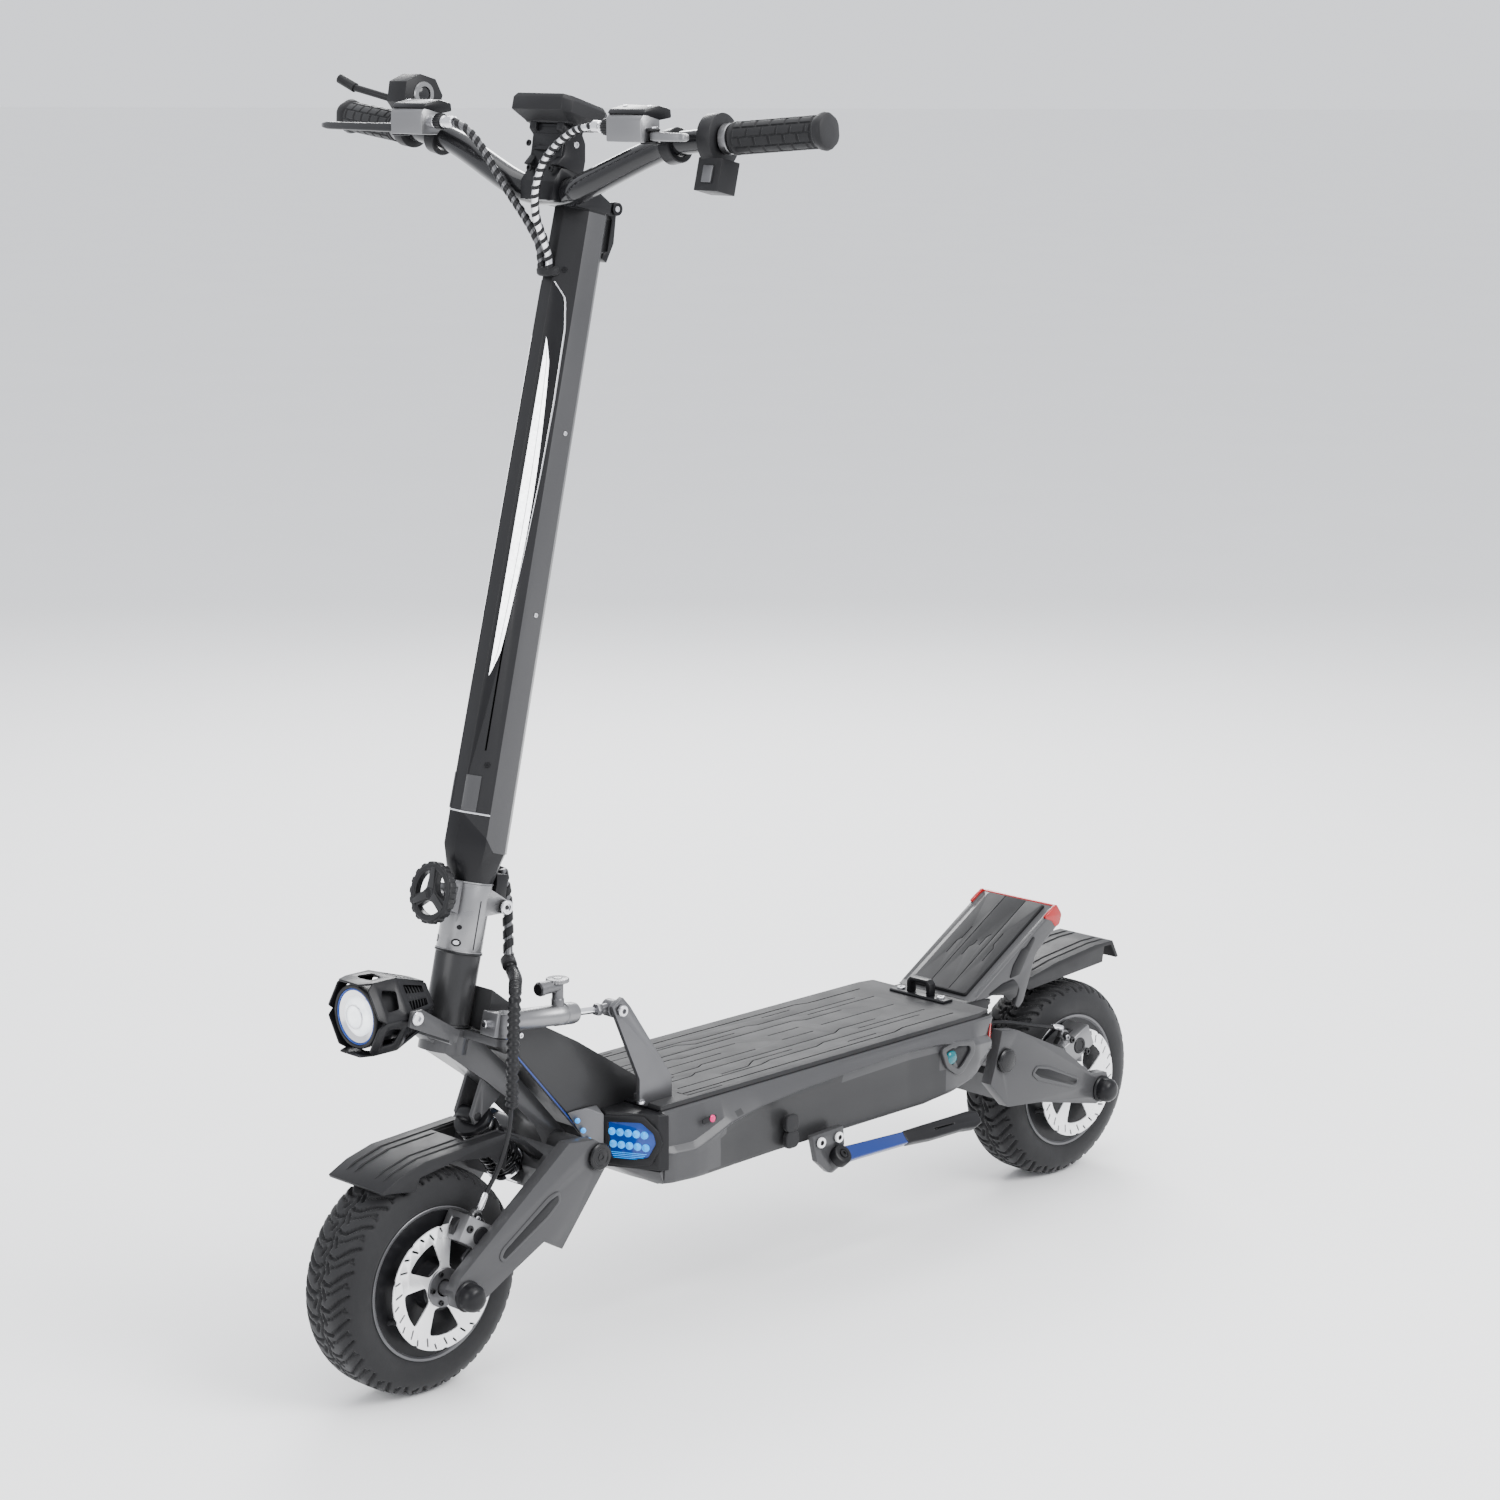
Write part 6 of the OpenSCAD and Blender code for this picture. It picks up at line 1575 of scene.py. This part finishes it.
def make_springs():
    """Wound springs laid along the length of the CAD springs they replace."""
    for tag, top, node in (("front", (-451, 292), "front_spring"), ("rear", (391, 267), "rear_spring")):
        ob = frame["nodes"][node]
        c = [ob.matrix_world @ v.co * 1000 for v in ob.data.vertices]
        axis = Vector((0, 0.6031, -0.7977)) if tag == "front" else Vector((0, -0.2316, -0.9728))
        t = Vector((0, top[0], top[1]))
        s = [(p - t).dot(axis) for p in c]
        s0, s1 = min(s), max(s)
        e1, e2 = Vector((1, 0, 0)), axis.cross(Vector((1, 0, 0)))
        turns, wire, R = 6.5, 3.4, 18.0
        n = int(turns * 30)
        pts = []
        for i in range(n + 1):
            a = 2 * pi * turns * i / n
            g = min(1, max(0, (turns * i / n - 0.8) / (turns - 1.6)))
            along = s0 + wire + (s1 - s0 - 2 * wire) * g
            pts.append(t + axis * along + e1 * (R * cos(a)) + e2 * (R * sin(a)))
        v, f = tube_data(pts, wire, 12)
        sp = add(f"{tag}_coil", v, f, GLOSS, None, 0, 1, 70, replaces=(node,))
        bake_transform(sp)


def make_calipers_detail():
    for tag, body, at in (("front", "front_arm", FA), ("rear", "rear_arm", RA)):
        hose_end = Vector((60, -490, 211)) if tag == "front" else Vector((60, 490, 211))
        d = (hose_end - Vector((60, at.y, at.z))).normalized()
        n = Vector((0, -d.z, d.y))
        M = Matrix(((0, 0, 1, 0.0586), (d.y, n.y, 0, at.y * MM), (d.z, n.z, 0, at.z * MM), (0, 0, 0, 1)))
        body_pts = [(52, -20), (60, -25), (72, -22), (82, -12), (84, 4), (80, 18), (66, 25), (54, 21),
                    (50, 12), (56, 6), (56, -6), (50, -12)]
        plate(f"{tag}_caliper_half", rounded(body_pts, 3, 4), [circle(67, -9, 4.5, 24)], 9.0, DARK, body, M,
              1.4, res=2)
        face = [(56, -16), (70, -17), (77, -8), (77, 6), (70, 16), (57, 16), (60, 6), (60, -6)]
        plate(f"{tag}_caliper_face", rounded(face, 3, 4), [], 2.4, SILVER, body,
              Matrix.Translation((0.0055, 0, 0)) @ M, 0.8, res=2)
        for k, (u, w, r) in enumerate(((68, -10, 4.6), (68, 10, 4.6), (81, 0, 3.6))):
            p = Vector((64.6, 0, 0)) + Vector((0, at.y, at.z)) + d * u + n * w
            bolt(f"{tag}_caliper_screw{k}", p, (1, 0, 0), r, 2.8, BOLT if k < 2 else SCREW, body)
        arm = [(28, -12), (40, -17), (54, -24), (58, -18), (50, -10), (36, -4)]
        plate(f"{tag}_caliper_bracket", rounded(arm, 2, 3), [circle(44, -13, 2.4, 20)], 4.0, GREYALLOY, body,
              Matrix.Translation((0.0010, 0, 0)) @ M, 0.6)
        p = Vector((60, at.y, at.z)) + d * 84
        disc(f"{tag}_banjo", p - Vector((4, 0, 0)), (1, 0, 0), [(0, 0.4), (0, 6.4), (1, 7), (7, 7),
                                                                (8, 6.4), (8, 0.4)], SILVER, body, 36)
        bolt(f"{tag}_banjo_bolt", p + Vector((4, 0, 0)), (1, 0, 0), 4.4, 2.6, BOLT, body)


def make_fender_ribs():
    """Raised ribs along the top of each fender, laid on the moulding's own surface."""
    for tag, node, body in (("front", "front_fender", "front_arm"), ("rear", "rear_fender", "deck")):
        src = bpy.data.objects[node + "_skin"]
        inv = src.matrix_world.inverted()
        lo = min((src.matrix_world @ Vector(c)).y for c in src.bound_box) * 1000
        hi = max((src.matrix_world @ Vector(c)).y for c in src.bound_box) * 1000
        for k, x in enumerate((-30, -17, 17, 30)):
            pts = []
            span = np.arange(lo + 12, hi - 12, 3.0)
            for y in span:
                ok, p, nrm, _ = src.ray_cast(inv @ (Vector((x, y, 900)) * MM),
                                             inv.to_3x3() @ Vector((0, 0, -1)))
                if not ok:
                    continue
                q = src.matrix_world @ p * 1000
                if nrm.z < 0.5:
                    continue
                pts.append(q)
            run_ = []
            best = []
            for q in pts:
                if run_ and (abs(q.z - run_[-1].z) > 4 or abs(q.y - run_[-1].y) > 7):
                    best = max(best, run_, key=len)
                    run_ = []
                run_.append(q)
            best = max(best, run_, key=len)
            if len(best) < 8:
                continue
            v, f = tube_data(best, lambda i, s: 1.5 * min(1, (i + 0.6) / 4, (len(best) - i - 0.4) / 4), 10)
            add(f"{tag}_fender_rib{k}", v, f, FENDER, body, 0, 1, 70)


def make_stand():
    p = Vector((134, 4, 170))
    ax = Vector((0.7526, 0.0228, 0.6581)).normalized()
    d = Vector((0, 224, -8)).normalized()
    n = ax.cross(d)
    M = Matrix(((d.x, n.x, ax.x, p.x * MM), (d.y, n.y, ax.y, p.y * MM), (d.z, n.z, ax.z, p.z * MM),
                (0, 0, 0, 1)))
    disc("stand_hub", p - ax * 7.2, ax, [(0, 0.5), (0, 11.4), (1, 12.2), (11, 12.2), (12.4, 11.4),
                                         (13.2, 9.0), (13.2, 6.0), (11.8, 5.4),
         (11.8, 0.5)], BLACK, "stand", 48, replaces=("kickstand",))
    bolt("stand_hub_bolt", p + ax * 4.8, ax, 4.8, 2.2, BOLT, "stand")
    plate("stand_leg", rounded([(6, -7), (30, -6.5), (112, -5.4), (112, 5.4), (30, 6.5), (6, 7)], 2, 3), [],
          10.5, BLUEPAINT, "stand", M, 2.2, res=3)
    plate("stand_shin", rounded([(108, -5.8), (120, -6.4), (150, -8), (205, -7), (228, -9), (239, -6),
                                 (240, 6), (226, 9), (196, 8),
                                 (150, 7), (108, 5.8)], 3, 4),
          [rounded([(156, -3), (196, -2.2), (196, 2.6), (158, 3)], 1.5, 3)],
          12, BLACK, "stand", M, 2.4, res=3)
    disc("stand_pin", p - ax * 25, ax, [(0, 0.5), (0, 4.6), (0.5, 5), (18, 5), (18, 0.5)], BOLT, "stand", 32)
    for y in (-24, 6):
        disc(f"stand_bolt_ring{y}", (129, y, 191), (1, 0, 0), [(-1, 3.2), (-1, 6.2), (0.4, 6.4), (1.6, 6.0),
                                                               (1.6, 3.2)], WHITEPAINT, "deck",
             40, closed=True)
        bolt(f"stand_bolt{y}", (129, y, 191), (1, 0, 0), 3.3, 1.8, BOLT, "deck")


def make_small():
    # hook's pivot with its pale centre
    for s, tag in ((1, "left"), (-1, "right")):
        q = world((s * 13, 38, 820))
        disc(f"hook_pivot_{tag}", q, (s, 0, 0), [(-1, 0.5), (-1, 6.6), (1.2, 7.4), (2.6, 7.0), (2.6, 4.4),
                                                 (1.4, 4.2), (1.4, 0.5)], BLACK,
             "stem", 40)
        disc(f"hook_pivot_core_{tag}", q + Vector((s * 1.2, 0, 0)), (s, 0, 0),
             [(0, 0.4), (0, 3.8), (1.2, 3.2), (1.2, 1.4), (0.4, 1.2), (0.4, 0.3)],
             SCREW, "stem", 32)
    # bright collar beside each grip, on the left between the switch ring and the grip
    for s, t, tag in ((1, 43, "left"), (-1, 50, "right")):
        d = (on_bar(s, 100) - on_bar(s, 0)).normalized()
        disc(f"grip_collar_{tag}", on_bar(s, t), d, [(0, 11.2), (0, 15.2), (1, 16), (8, 16), (9, 15.2),
                                                     (9, 11.2)], SILVER, "stem", 48,
             closed=True)
    # ring and dark oval on the throttle's housing
    t = Vector((-262, -294.5, 1384))
    disc("throttle_ring", t + Vector((30.2, -2, 4)), (1, 0, 0), [(-1, 8.0), (-1, 13.2), (0.6, 14),
                                                                 (2.2, 13.2), (2.2, 8.6)], SILVER, "stem",
         56,
         closed=True)
    disc("throttle_eye", t + Vector((30.2, -2, 4)), (1, 0, 0), [(-0.6, 0.4), (-0.6, 8.0), (1.0, 7.6),
                                                                (1.8, 5.0), (1.8, 0.4)], GLOSS,
         "stem", 48)


WHITEPAINT = material("white_ring", (0.75, 0.75, 0.76), 0.35, 0.1, 900, 0.04, 0.04, 18, 0.06)
make_springs()
make_calipers_detail()
make_fender_ribs()
make_stand()
make_small()
